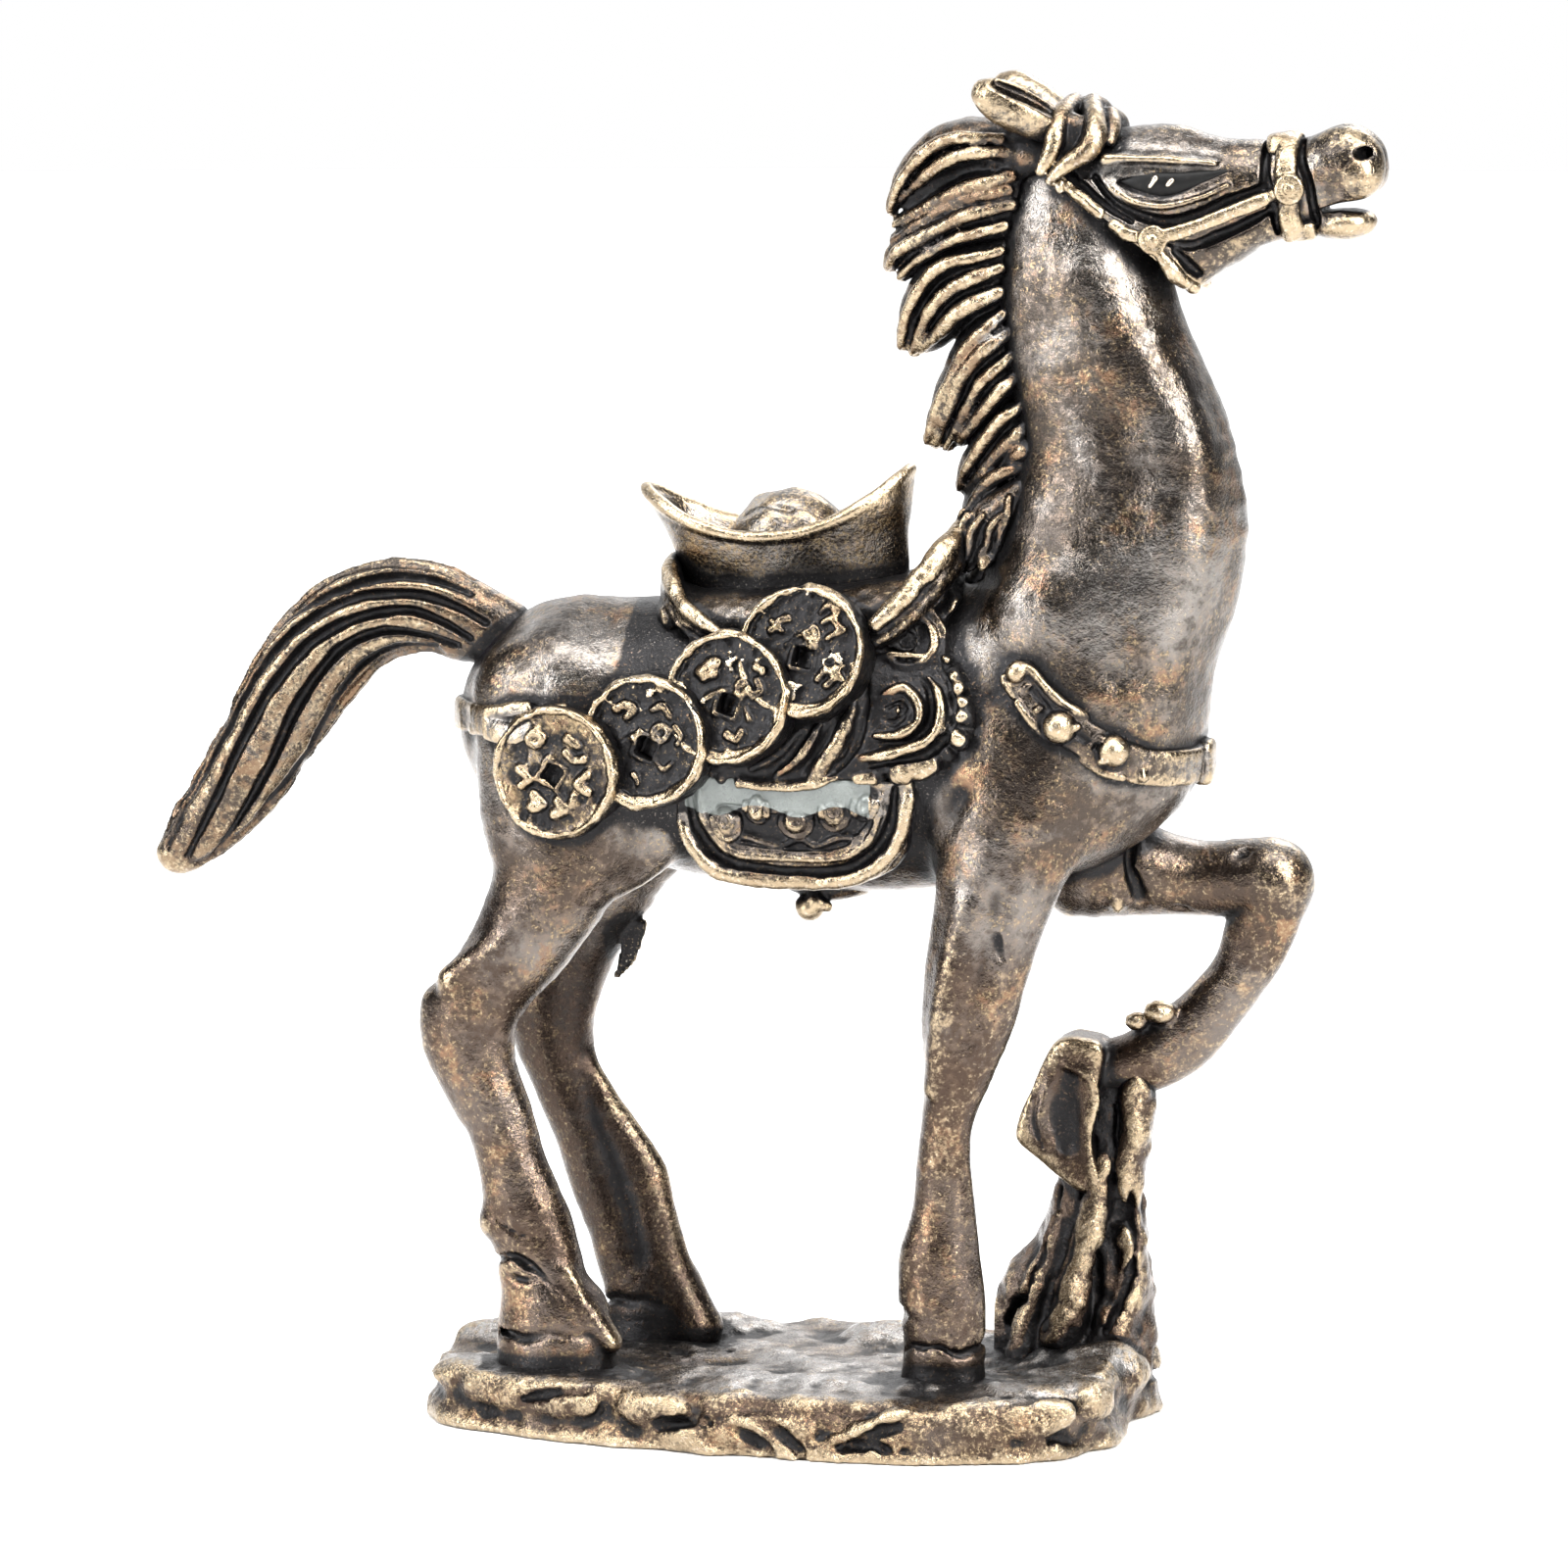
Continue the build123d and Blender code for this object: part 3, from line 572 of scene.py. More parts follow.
# x, z of the folded hoof seen from the side
HOOF_FOLDED = """
    12.3 13.9, 11.5 14.2, 10.7 14.15, 10.1 13.5, 9.6 12.2, 9.1 10.9, 9.15 10.2, 10 9.5, 11 8.8,
    11.7 8.5, 12.1 9.2, 12 10.6, 12.2 12.4"""
# centre, radii, way that the first radius runs
MUSCLES = """
    -6.9 -2.5 26.8, 3.4 1.7 2.4, 1 0 -.2; -5 -2.9 21.9, 2 1.3 2.2, .5 0 1;
    12.1 -2.2 30.4, 2.9 1.55 2.2, 1 .2 -.3; 13.2 -1.9 27.4, 2.4 1.6 1.8, 1 .3 -.4;
    11.6 -2.3 23.9, 2.6 1.6 2.3, 1 .3 .6; 14 -.9 24.7, 1.7 1.5 1.6, 1 0 0"""
# proud muscle down each side of the neck
NECK_RIDGE = """
    12.2 -1.35 42.4 1 .7, 13.5 -1.45 40 1.1 .8, 14.9 -1.6 38 1.15 .9, 15.7 -1.75 35.6 1.2 .95,
    15.6 -2 32.8 1.3 1, 14.9 -2.1 30 1.3 1, 14.4 -2.1 27.9 1.2 .9"""


def hoof(node):
    """Standing hoof flared towards the rock, with a groove under the coronet."""
    (x, y, _), (half_x, half_y, _) = place(node)
    low = between(node)[0][2]
    wall = [
        (x + 0.1, y, low + 2.0, half_x * 0.74, half_y * 0.8),
        (x, y, low + 1.0, half_x * 0.86, half_y * 0.88),
        (x, y, low - 0.4, half_x * 0.98, half_y * 0.96),
    ]
    angles = np.radians(np.arange(0, 361, 9))
    ragged = 0.13 * np.sin(3 * angles + x) + 0.07 * np.sin(7 * angles)
    front, side = x + 0.05 + half_x * 0.86 * np.cos(angles), y + half_y * 0.88 * np.sin(angles)
    return limb(wall), rod(np.column_stack([front, side, low + 1.35 + ragged]), 0.15)


def horse_body():
    low, high = between(
        "trunk", "neck", "foreleg_left", "hoof_rear_left", "hoof_rear_right", "hoof_front_right", margin=1.2
    )
    clay = Clay((low[0], -5.6, low[2] + 0.6), (high[0], 5.6, 46.2), STEP_BODY)
    clay.add(limb(TRUNK))
    clay.add(limb(NECK), 2.2)
    for centre, radii, way in lines(MUSCLES):
        clay.add(both(blob(centre, radii, way)), 1.1)
    clay.add(both(limb(NECK_RIDGE)), 1.3)
    for leg in (HINDLEG_RIGHT, HINDLEG_LEFT, FORELEG_RIGHT):
        clay.add(limb(leg), 0.9)
    clay.add(limb(FOREARM_LEFT) + limb(CANNON_LEFT), 0.6)
    clay.add(blob((18.5, 3.0, 20.1), (1.5, 1.45, 1.6)), 0.4)
    outline = fence(HOOF_FOLDED)

    def folded(x, y, z):
        return soft_max(outline(x, z), np.abs(y - 3.0) - 1.45 + 0.05 * (12 - x), 0.3)

    clay.add([Shape((8.6, 1.4, 8.0), (12.8, 4.6, 14.7), folded)], 0.15)
    # sole of the folded hoof: a dark dish inside a golden rim, and nuggets on the fetlock
    clay.cut(limb("11.1 1.45 12.9 .4 .3, 10.85 1.5 11.5 .72 .36, 11 1.5 10.1 .5 .3"), 0.1)
    clay.cut(rod("10.2 1.6 13 .1, 9.85 1.65 12 .15, 9.75 1.7 11 .14, 10.1 1.7 10.1 .08", pieces=4), 0.08)
    clay.add(rod("""
        10.9 1.65 13.2 .14, 11.7 1.65 12.9 .2, 12.1 1.65 12.1 .2, 11.9 1.6 11 .17,
        11.85 1.6 9.9 .18, 12.1 1.7 8.7 .2, 11.7 1.9 7.8 .1""", pieces=4), 0.06)
    clay.cut(rod("12.5 1.75 12.8 .12, 12.5 1.7 11.4 .2, 12.4 1.7 9.8 .12", pieces=4), 0.08)
    clay.add(blob((14.4, 2.1, 15.25), (0.6, 0.5, 0.42)) + blob((13.5, 2.3, 14.85), (0.45, 0.45, 0.35)), 0.12)
    clay.cut(rod("13.2 1.8 14.3 .1, 14 1.7 14.55 .16, 14.9 1.75 14.75 .1", pieces=3), 0.08)
    for node in ("hoof_front_right", "hoof_rear_right", "hoof_rear_left"):
        wall, coronet = hoof(node)
        clay.add(wall, 0.35)
        clay.cut(coronet, 0.15)
    # tendons behind the cannons, points of hock, and the hollow of each flank
    clay.add(rod("-11.6 -3.3 15.6 .5, -11.2 -3.3 13.4 .42, -10.5 -3.3 11.6 .3", pieces=3), 0.6)
    clay.add(rod("-9.9 3.3 14.8 .5, -9.5 3.3 12.8 .35", pieces=2), 0.6)
    clay.cut(both(limb("-3.2 -4.9 24.2 1 .7, -3.5 -4.7 22 .9 .7, -3.9 -4.1 20.4 .6 .6")), 0.9)
    clay.cut(both(limb("8.1 -4.9 24 .35 .55, 7 -4.8 22 .3 .5, 6.6 -4.2 20.6 .25 .4")), 0.5)
    clay.add(limb("""
        -5.9 -4 21 .5 .5, -7.6 -4.1 19.2 .5 .5, -9.1 -4.2 17.9 .45 .45, -10.9 -4.1 16.6 .5 .45"""), 0.6)
    clay.cut(limb("""
        -9.3 -4.8 15.7 .3 .35, -9 -4.75 13.9 .3 .35, -8.5 -4.6 12.1 .22 .3, -8 -4.6 10.3 .2 .25"""), 0.5)
    clay.add(limb("-6.55 -3.9 5.8 .3 .5, -5.85 -3.9 4.5 .35 .55, -5 -3.7 3.2 .4 .6"), 0.25)
    clay.add(blob((-9.2, -3.3, 7.5), (0.85, 0.95, 0.75)), 0.35)
    clay.cut(rod("-9.85 -3 5.95, -9.6 -4 6.05", 0.38), 0.15)
    for line in lines("""
        -9.4 6.1 .12, -8.7 6.4 .16, -8.1 6.15 .26, -7.6 5.9 .18, -7 5.35 .08;
        -8.9 5.7 .08, -8.2 5.55 .16, -7.6 5.6 .08; -9.5 8 .06, -8.5 7.3 .12, -7.4 7.1 .06;
        -6.7 10.3 .08, -5.8 8.6 .15, -5 6.8 .18, -4.4 4.8 .17, -3.8 3.3 .2;
        9.65 18.9 .13, 9.75 18.1 .1; 8.2 16.2 .07, 8.25 15.8 .07; 9 14.2 .08, 9 14 .06;
        -8.6 13.9 .07, -8.7 13.5 .07; 17.3 21.2 .12, 17.6 21.3 .12; 15 19.2 .1, 15.4 19.1 .06"""):
        clay.cut(welt(clay, line, tall=1.8), 0.08)
    # ridge and hollows down the standing foreleg, its slot, and the notch behind its pastern
    clay.add(limb("""
        8.4 -4.4 20 .4 .4, 7.8 -4.5 17.6 .42 .42, 7.5 -4.4 15.6 .36 .4, 7.2 -4.1 13.2 .3 .35"""), 0.5)
    clay.cut(limb("9.6 -5.15 20.3 .3 .4, 9.1 -5.1 17.5 .3 .4, 8.6 -4.95 15 .2 .3"), 0.6)
    clay.cut(rod("5.65 -3.3 4.75 .34, 6.1 -4.3 4.7 .22, 6.9 -4.7 4.4 .1", pieces=4), 0.12)
    # crease where the neck is set into the shoulder, and the seam of the raised foreleg
    clay.cut(both(rod("7.6 -3.5 31.2 .2, 8 -3.9 29.8 .28, 9.2 -4.15 29.1 .2", pieces=4)), 0.4)
    clay.cut(rod("""
        13.5 1.3 22.2 .3, 13.3 1.25 20.9 .26, 13.7 1.3 19.8 .3, 13.7 1.6 18.6 .18""", pieces=3), 0.12)
    clay.add(rod("12.9 1.2 21.8 .2, 12.8 1.2 20.4 .28, 12.95 1.3 19.2 .2", pieces=3), 0.2)
    # thin fin of metal down the front of the left hind leg, cracked where it meets the leg
    clay.add(limb("""
        -7.5 3.1 12.4 .4 .4, -6.6 3 10.6 .65 .6, -5.5 3 8.6 .95 .75, -4.8 2.9 6.6 .9 .8,
        -4.3 2.9 4.6 1 .9, -3.4 2.8 2.6 1.2 1.1"""), 0.3)
    clay.add(limb("-5.5 2.5 17.9 .55 .25, -5.7 2.4 16.7 .42 .2, -6.2 2.4 15.8 .2 .12"), 0.08)
    clay.wobble("2.4 .07 11, .9 .035 12, .45 .018 13")
    return clay


def bridle_side(x, z):
    """Positive on the head's side of the line from the crown to the throat."""
    return ((x - 11.4) * 3.6 + (z - 46.1) * 4.6) / 5.84


# ---------------------------------------------------------------- head
# x, y, z, half height, half width
SKULL = """
    10.9 0 46.8 1.6 1.35, 12.2 0 46 2.05 1.75, 13.6 0 45.3 2.75 2, 15 0 45.1 2.95 2,
    16.4 0 45.25 2.5 1.75, 17.8 0 45.6 2 1.5, 19.2 0 45.85 1.75 1.35, 20.4 0 46.1 1.6 1.3"""


def horse_head(body):
    low, high = between("head", "ear_right", "ear_left", margin=0.9)
    clay = Clay((low[0] - 0.4, low[1], low[2] - 0.3), (high[0], high[1], high[2] + 0.4), STEP_HEAD)
    spot, values = body.resampled(clay.axes)
    clay.field[spot] = np.minimum(clay.field[spot], values)
    clay.add(limb(SKULL), 0.8)
    # jowls
    clay.add(both(blob((14.7, -1.0, 43.5), (1.75, 1.05, 1.75), (1, 0, 0.2))), 0.35)
    clay.add(both(welt(clay, """
        13.35 43.7 .12, 13.35 42.9 .22, 13.8 42.3 .26, 14.5 41.95 .24, 15.2 41.9 .12""")), 0.1)
    clay.add(both(limb("15.6 -.7 42.6 .6 .6, 17.4 -.75 43.9 .55 .6, 19.2 -.7 44.7 .5 .55")), 0.5)
    # muzzle
    clay.add(both(blob((21.4, -0.35, 46.75), (1.45, 1.05, 1.4))), 0.5)
    clay.add(both(blob((21.9, -0.7, 46.35), (0.85, 0.75, 0.75))), 0.4)
    # lower lip
    clay.add(blob((21.3, 0, 44.6), (1.25, 1.05, 0.62), (1, 0, 0.1)), 0.3)
    clay.cut(limb("20.7 0 45.12 .1 1.5, 21.6 0 45.28 .17 1.6, 23.4 0 45.35 .3 1.7"), 0.08)
    clay.cut(both(rod("21.9 -1.7 47.25 .26, 22.25 -.9 47.2 .24, 22.4 -.6 47.1 .15", pieces=2)), 0.06)
    # brow
    clay.add(both(limb("""
        12.9 -1.75 46.9 .24 .28, 14 -1.75 46.95 .17 .26, 15.6 -1.65 46.9 .13 .22,
        16.8 -1.4 46.8 .06 .16""")), 0.35)
    clay.add(both(limb("""
        13.1 -1.75 45.9 .14 .24, 14 -2 45.42 .13 .24, 15.1 -2 45.28 .13 .24,
        16.3 -1.8 45.55 .11 .22, 17.3 -1.55 46 .08 .18""")), 0.2)
    eye = limb("""
        13.35 -2.1 46.1 .06 .5, 14.2 -2.2 46.05 .42 .5, 15.1 -2.2 46 .5 .5, 16.1 -2.05 46.2 .32 .5,
        17.3 -1.85 46.5 .06 .4""")
    clay.cut(both(eye), 0.1)
    for line in lines("""
        12.5 46.3 .1, 13.1 45.5 .16, 13.95 44.98 .2, 15.05 44.72 .22, 16.15 44.9 .2, 17.5 45.55 .18,
        18.6 45.95 .14;
        15.3 43.95 .14, 16.15 43.85 .2, 17.5 44.4 .2, 18.8 45.1 .14;
        11.3 46.45 .12, 11.8 46.15 .17, 12.85 45.3 .17, 13.9 44.65 .1;
        13.1 43.4 .1, 13.15 42.9 .18, 13.55 42.2 .22, 14.4 41.65 .2, 15.3 41.5 .12;
        14.2 43.5 .14, 14.6 43 .26, 15 42.6 .16; 15.5 43.65 .14, 15.9 43.2 .2, 16.3 42.75 .14;
        18.62 47.6 .14, 18.6 46.9 .17, 18.68 46.1 .17, 18.95 45.05 .17, 19.15 44.3 .14;
        19.8 47.6 .14, 19.92 46.9 .17, 20.22 46.1 .17, 20.38 45.1 .17, 20.4 44.6 .12"""):
        clay.cut(both(welt(clay, line, height=0.3)), 0.08)
    # ears, laid back, with the slit of each opening upwards
    ear = limb("11 -1.25 47.9 .6 .55, 10 -1.75 48.45 .78 .7, 9 -2 49 .78 .68, 8.45 -2.05 49.25 .5 .42")
    clay.add(both(ear), 0.12)
    clay.cut(both(limb("""
        8.95 -2.5 49.6 .14 .4, 9.55 -2.5 49.36 .2 .55, 10.2 -2.35 49.05 .22 .6,
        10.85 -2 48.62 .16 .5, 11.2 -1.8 48.35 .08 .3""")), 0.06)
    clay.wobble(".8 .03 21, .35 .022 22")
    clay.keep(lambda x, y, z: np.float32(1) * (-bridle_side(x, z) - 0.15) + 0 * y)
    return clay


def eyes():
    clay = Clay((12.8, -2.6, 45.0), (17.8, -1.0, 47.0), STEP_HEAD * 0.8)
    clay.add(limb("""
        13.4 -1.5 46.1 .1 .2, 14.2 -1.62 46.05 .42 .28, 15.1 -1.66 46 .5 .3, 16.1 -1.5 46.2 .34 .25,
        17.2 -1.25 46.5 .1 .2"""))
    glints = Clay((14.2, -2.4, 45.6), (15.8, -1.4, 46.6), STEP_HEAD * 0.6)
    glints.add(rod("14.55 -1.88 45.95 .1, 14.75 -1.9 46.25 .13", pieces=1))
    glints.add(rod("15.2 -1.9 46.02 .11, 15.35 -1.9 46.18 .11", pieces=1))
    return clay, glints


# ---------------------------------------------------------------- hair
# strands down the near face: x, z from the crest to the point
MANE_LOCKS = {
    "mane_upper": """
        9 47.6, 7.2 47.5, 6 46.9, 5.2 45.9, 4.7 44.8; 9.1 47, 7.4 46.9, 6.2 46.2, 5 45.1;
        9.3 46.2, 7.9 45.8, 6.3 45, 4.9 44.3; 9.3 45.7, 7.7 45.3, 6.1 44.5, 4.8 43.7;
        9.3 45.1, 7.6 44.7, 6.2 44, 5 43.3, 4.6 42.7; 9.1 44.4, 7.3 43.9, 5.9 43.1, 5.1 42.4""",
    "mane_middle": """
        9 43.5, 6.7 42.8, 5.6 41.5, 5.1 39.8; 8.9 42.8, 7.2 42.1, 6.2 41, 5.5 39.6;
        8.9 42, 7.5 41.3, 6.6 40.4, 5.9 39.8; 9.1 41.2, 7.8 40, 6.8 38.2, 6.1 36.4;
        9.2 40.5, 7.9 39.4, 7.1 37.9, 6.4 36.3; 9.4 39.7, 8.3 38.7, 7.5 37.4, 6.8 36.2;
        9.5 38.9, 8.7 38.1, 7.9 37.1, 7.3 36.4""",
    "mane_lower": """
        9.9 38, 8.7 37, 7.8 35.7, 7.3 34.7; 10 37.2, 9.2 36.4, 8.2 35.3, 7.5 34.6;
        10.2 36.5, 9.3 35.8, 8.3 34.9; 10.2 35.8, 8.9 35.3, 8.1 34.5, 7.8 33.4, 8.1 32.4;
        10.3 35.2, 9.3 34.6, 8.6 33.7, 8.3 32.6; 10.3 34.7, 9.7 33.9, 9.2 33.1, 8.5 32.4""",
}

# x, z, half width of the ridges on the last lock
CURLED_STRANDS = """
    7.75 34 .12, 7.5 33.2 .19, 7.5 32.5 .19, 7.75 32.05 .12; 8.05 33.9 .12, 7.8 33.3 .19, 7.75 32.5 .12;
    8.55 33.9 .12, 8.2 33.4 .19, 8 32.7 .19, 7.9 32.3 .12;
    9.2 34 .12, 8.8 33.5 .19, 8.6 32.8 .19, 8.1 32.2 .19, 7.8 32 .12;
    9.5 34.6 .12, 9.2 33.6 .19, 8.9 32.8 .19, 8.3 32.1 .12"""


def mane(node, strands):
    """Locks with raised strands on both faces and a recessed core between them."""
    low, high = between(node, margin=0.7)
    clay = Clay((low[0] - 0.3, -2.6, low[2] - 0.6), (high[0] + 0.6, 2.6, high[2] + 0.6), STEP_HAIR)
    for i, line in enumerate(lines(strands)):
        xz = flow(line, 6)
        t = np.linspace(0, 1, len(xz))
        spread = (1.35 * (1 - t) ** 0.8 + 0.28) * (0.72 + 0.28 * ease(0, 0.2, t))
        fat = 0.25 * (0.8 + 0.4 * np.sin(np.pi * np.clip(t * 0.85 + 0.15, 0, 1))) * (1 - 0.25 * t**3)
        deep, wide = 0.66 * (1 - 0.62 * t**2), np.maximum(spread - 0.2, 0.12)
        core = np.column_stack([xz[:, 0], 0 * t, xz[:, 1], deep, wide])
        clay.add(limb(core, pieces=1), 0.12)
        for side in (-1, 1):
            sway = 0.05 * np.sin(7 * t + 2.1 * i + side)
            route = np.column_stack([xz[:, 0] + sway, side * spread, xz[:, 1] + sway])
            clay.add(rod(route, fat * (1 + 0.12 * ((i * 37) % 5 - 2) / 2)), 0.04)
        clay.add(rod([(xz[-3][0], 0, xz[-3][1]), (xz[-1][0], 0, xz[-1][1])], [0.26, 0.19]), 0.1)
    if node == "mane_upper":
        clay.add(limb("10.9 0 47 1 1.3, 9.4 0 46.9 1.1 1.3, 7.6 0 46.7 .75 .75, 6.3 0 46 .55 .4"), 0.1)
        clay.add(limb("7.3 0 46.3 .5 .5, 6.2 0 45.7 .5 .4, 5.35 0 45.05 .42 .25"), 0.1)
    if node == "mane_lower":     # last lock, curled against the neck, and the root between neck and pommel
        clay.add(limb("9.7 0 33.7 .8 1.2, 8.7 0 32.3 .8 1.3, 8.1 0 31.4 .6 1.3"), 0.2)
        clay.add(both(limb("""
            9.7 -1.35 34.7 .5 .55, 8.9 -1.4 33.8 .85 .6, 8.35 -1.4 33 .75 .55,
            7.95 -1.35 32.35 .4 .4""")), 0.15)
        for line in lines(CURLED_STRANDS):
            clay.add(both(welt(clay, line, height=0.34)), 0.03)
    clay.wobble(".5 .04 31, .28 .022 32")
    return clay


# x, z, half depth, half width
TAIL = """
    -9.7 28.95 1.2 .95, -11 29.25 1.5 1.1, -12.6 29.8 1.72 1.3, -14.3 29.7 1.9 1.45, -15.9 28.9 2 1.55,
    -17.4 27.2 2.02 1.6, -18.8 24.95 1.85 1.5, -20.15 22.9 1.68 1.35, -21.5 21.25 1.3 1.05,
    -22.4 20.3 .8 .75"""
# x, z of the black channels between the strands, from the dock down
TAIL_GROOVES = """
    -10.9 30.45, -12 30.9, -13.1 31.1, -14.4 31, -15.8 30.55, -17.4 29.75, -18.4 28.9, -19.2 27.6;
    -10.3 29.4, -11.4 30, -12.75 30.42, -14.4 30.4, -15.7 30.1, -17.1 29.3, -18.2 28.35, -19.1 27.2,
    -20 25.6, -20.9 23.9, -21.8 22.4, -22.6 20.7;
    -10.9 28.8, -11.7 29.3, -13 29.8, -14.3 29.72, -15.6 29.3, -16.8 28.6, -17.7 27.7, -18.6 26.5,
    -19.5 24.9, -20.3 23.2, -21.1 21.6, -21.8 20.3;
    -11.4 28.5, -13.2 29, -14.4 28.95, -15.6 28.4, -16.6 27.3, -17.5 25.9, -18.3 24.2, -19.1 22.8,
    -20 21.4, -20.8 20.4;
    -12.3 28.4, -13.7 28.35, -14.9 27.75, -15.8 26.6, -16.6 25.3, -17.4 23.9, -18.3 22.8, -19.1 22;
    -20.3 26, -21.1 24.4, -21.9 22.9, -22.5 21.8"""


def tail():
    """Full switch of hair, cut by channels that run from the dock to the point."""
    low, high = between("tail", margin=0.9)
    clay = Clay(low, (high[0] + 0.4, high[1], high[2] + 0.3), STEP_HAIR)
    clay.add(limb(np.insert(table(TAIL), 1, 0, axis=1), pieces=5))
    whole = Clay(low, high, clay.step)
    whole.axes, whole.field = clay.axes, clay.field.copy()
    for line in lines(TAIL_GROOVES):
        t = np.linspace(0, 1, len(line))
        half = 0.21 * np.sin(np.pi * np.clip(0.12 + 0.8 * t, 0, 1)) ** 0.6
        clay.cut(both(welt(whole, line, half, tall=2.1, pieces=5)), 0.16)
    middle = flow(table(TAIL)[1:, :3], 5)
    way = unit(np.gradient(middle[:, :2], axis=0))
    # channels along the back and the underside
    for side, shift in ((1, 0.0), (1, 0.62), (-1, 0.0), (-1, 0.6)):
        out = np.column_stack([way[:, 1], -way[:, 0]])
        edge = middle[:, :2] + side * middle[:, 2:] * out * (1 - 0.12 * shift)
        line = np.column_stack([edge[:, 0], 0 * edge[:, 0] - shift, edge[:, 1]])[2:-2]
        clay.cut(both(rod(line, 0.2)), 0.14)
    clay.wobble(".6 .035 41")
    return clay


def forelock(head):
    """Locks that fall from the poll to each side of the brow."""
    low, high = between("forelock", "ear_drops", margin=0.9)
    clay = Clay((9.6, low[1] - 0.4, 44.6), (13.8, high[1] + 0.4, high[2] + 0.3), STEP_TACK)
    locks = """
        11.4 -.2 48.7 .42, 11.25 -1.3 48.4 .42, 11.1 -1.85 47.8 .4, 10.95 -2.1 47.1 .33,
        10.6 -2.2 46.45 .2;
        12.1 -.2 48.65 .45, 12.35 -1.2 48.3 .42, 12.5 -1.8 47.7 .46, 12.25 -2.1 47.2 .42,
        11.7 -2.25 46.8 .34, 11.2 -2.3 46.4 .22, 10.9 -2.25 46.1 .14;
        12.75 -.1 48.3 .4, 13 -.9 47.95 .3, 13 -1.4 47.5 .2"""
    clay.add(both(blob((11.6, -1.4, 47.55), (0.8, 0.5, 1.0))), 0.1)
    for lock in lines(locks):
        clay.add(both(rod(flow(lock, 4))), 0.06)
    for z, radius in zip((46.1, 45.3), (0.27, 0.22)):
        spot, _ = head.settle([(10.65, -2.3, z)], 0.1)
        clay.add(both(blob(spot[0], (radius, radius, radius * (1.0 if z > 46 else 1.5)))), 0.03)
    clay.wobble(".5 .035 51")
    return clay


# ---------------------------------------------------------------- tack on the body
def breast_collar(body):
    """Cast collar: two framing ridges with a groove between, studs, and a plain strap round the breast."""
    low, high = between("breast_collar", "collar_studs", margin=1.2)
    clay = Clay((8.0, low[1], 23.2), (high[0] + 0.6, high[1], 30.2), STEP_TACK)
    axis = (11.5, 0.0)
    band = """
        9 -7 28.35, 10.2 -7 27.65, 11.6 -7 26.9, 13.1 -6.5 26.25, 14.7 -6 25.6, 15.9 -5.3 25.25,
        16.3 -5 25.1, 17.5 -4 24.98, 18.5 -2.5 24.9, 18.9 -1.2 24.9, 18.9 0 24.9"""
    clay.add(both(welt(body, band, 0.7, 0.36, sunk=0.08, square=4, toward=axis)), 0.08)
    for line in lines("""
        9.1 -7 28.78 .16, 10.1 -7 28.55 .2, 11.1 -7 27.95 .18, 12.4 -6.7 27.28 .21, 13.7 -6.3 26.85 .18,
        15.4 -5.6 26.12 .15;
        9.4 -7 27.45 .16, 10.6 -7 26.55 .2, 11.7 -7 25.95 .18, 13.1 -6.5 25.3 .21,
        14.4 -6.1 24.95 .18, 15.3 -5.6 24.75 .15"""):
        clay.add(both(welt(clay, line, height=0.2, toward=axis)), 0.06)
    clay.cut(both(welt(clay, "10 -7 28.05 .1, 11 -7 27.4 .14, 11.7 -7 26.95 .06", toward=axis)), 0.05)
    clay.cut(both(welt(clay, """
        12.5 -6.8 26.45 .08, 13.6 -6.4 26 .13, 14.7 -6.1 25.55 .07""", toward=axis)), 0.06)
    for x, z, radius in ((9.15, 28.5, 0.42), (11.95, 26.6, 0.62), (15.35, 25.75, 0.6)):
        spot = clay.touch((x, -7, z), (axis[0] - x, 7, 0))
        clay.add(both(blob(spot, (radius, radius, radius))), 0.05)
        clay.cut(both(ring(spot, (radius + 0.04, 0, 0), (0, 0, radius + 0.04), 0.05)), 0.03)
    for x, z in ((9.9, 28.0), (10.7, 27.2), (12.9, 26.6), (13.7, 25.9), (14.3, 26.2), (14.5, 25.4)):
        spot = clay.touch((x, -7, z), (axis[0] - x, 7, 0))
        clay.add(both(blob(spot, (0.24, 0.2, 0.16), (1, 0, 0.5))), 0.06)
    clay.add(both(welt(clay, "16.25 -5 26, 16.3 -5 24.7", 0.22, 0.2, toward=axis)), 0.1)
    nose = clay.touch((19.5, 0, 24.9), (-1, 0, 0))
    clay.add(blob(nose - (0.05, 0, 0), (0.4, 0.75, 0.85), power=4), 0.06)
    clay.wobble(".6 .035 61")
    return clay


def crupper(body):
    """Thin strap round the quarters that ends in a lumpy block behind the first coin."""
    low, high = between("crupper", margin=1.0)
    clay = Clay((low[0] - 0.6, low[1] - 0.3, 24.2), (-5.6, high[1] + 0.3, 28.2), STEP_TACK)
    axis = (-6.5, 0.0)
    band = """
        -6.6 -7 26.35, -8.2 -7 26.25, -9.6 -6.2 26.15, -11.5 -4.6 26.1, -12.6 -2.6 26.05, -13 -1 26,
        -13 0 26"""
    clay.add(both(welt(body, band, 0.6, 0.24, sunk=0.04, square=4, toward=axis)), 0.1)
    clay.add(both(welt(clay, """
        -8.6 -6.8 26.3 .7, -9.5 -6.2 26.15 .78,
        -10.6 -5.4 26.1 .66""", height=0.26, square=4, toward=axis)), 0.1)
    clay.cut(both(welt(clay, """
        -8.2 -7 26.6 .06, -9.4 -6.3 26.3 .12, -10.4 -5.6 26.35 .06""", toward=axis)), 0.06)
    clay.wobble(".7 .05 62")
    return clay


# ---------------------------------------------------------------- saddle
SADDLE_LIFT = 0.45           # thickness of the saddle's ground over the horse


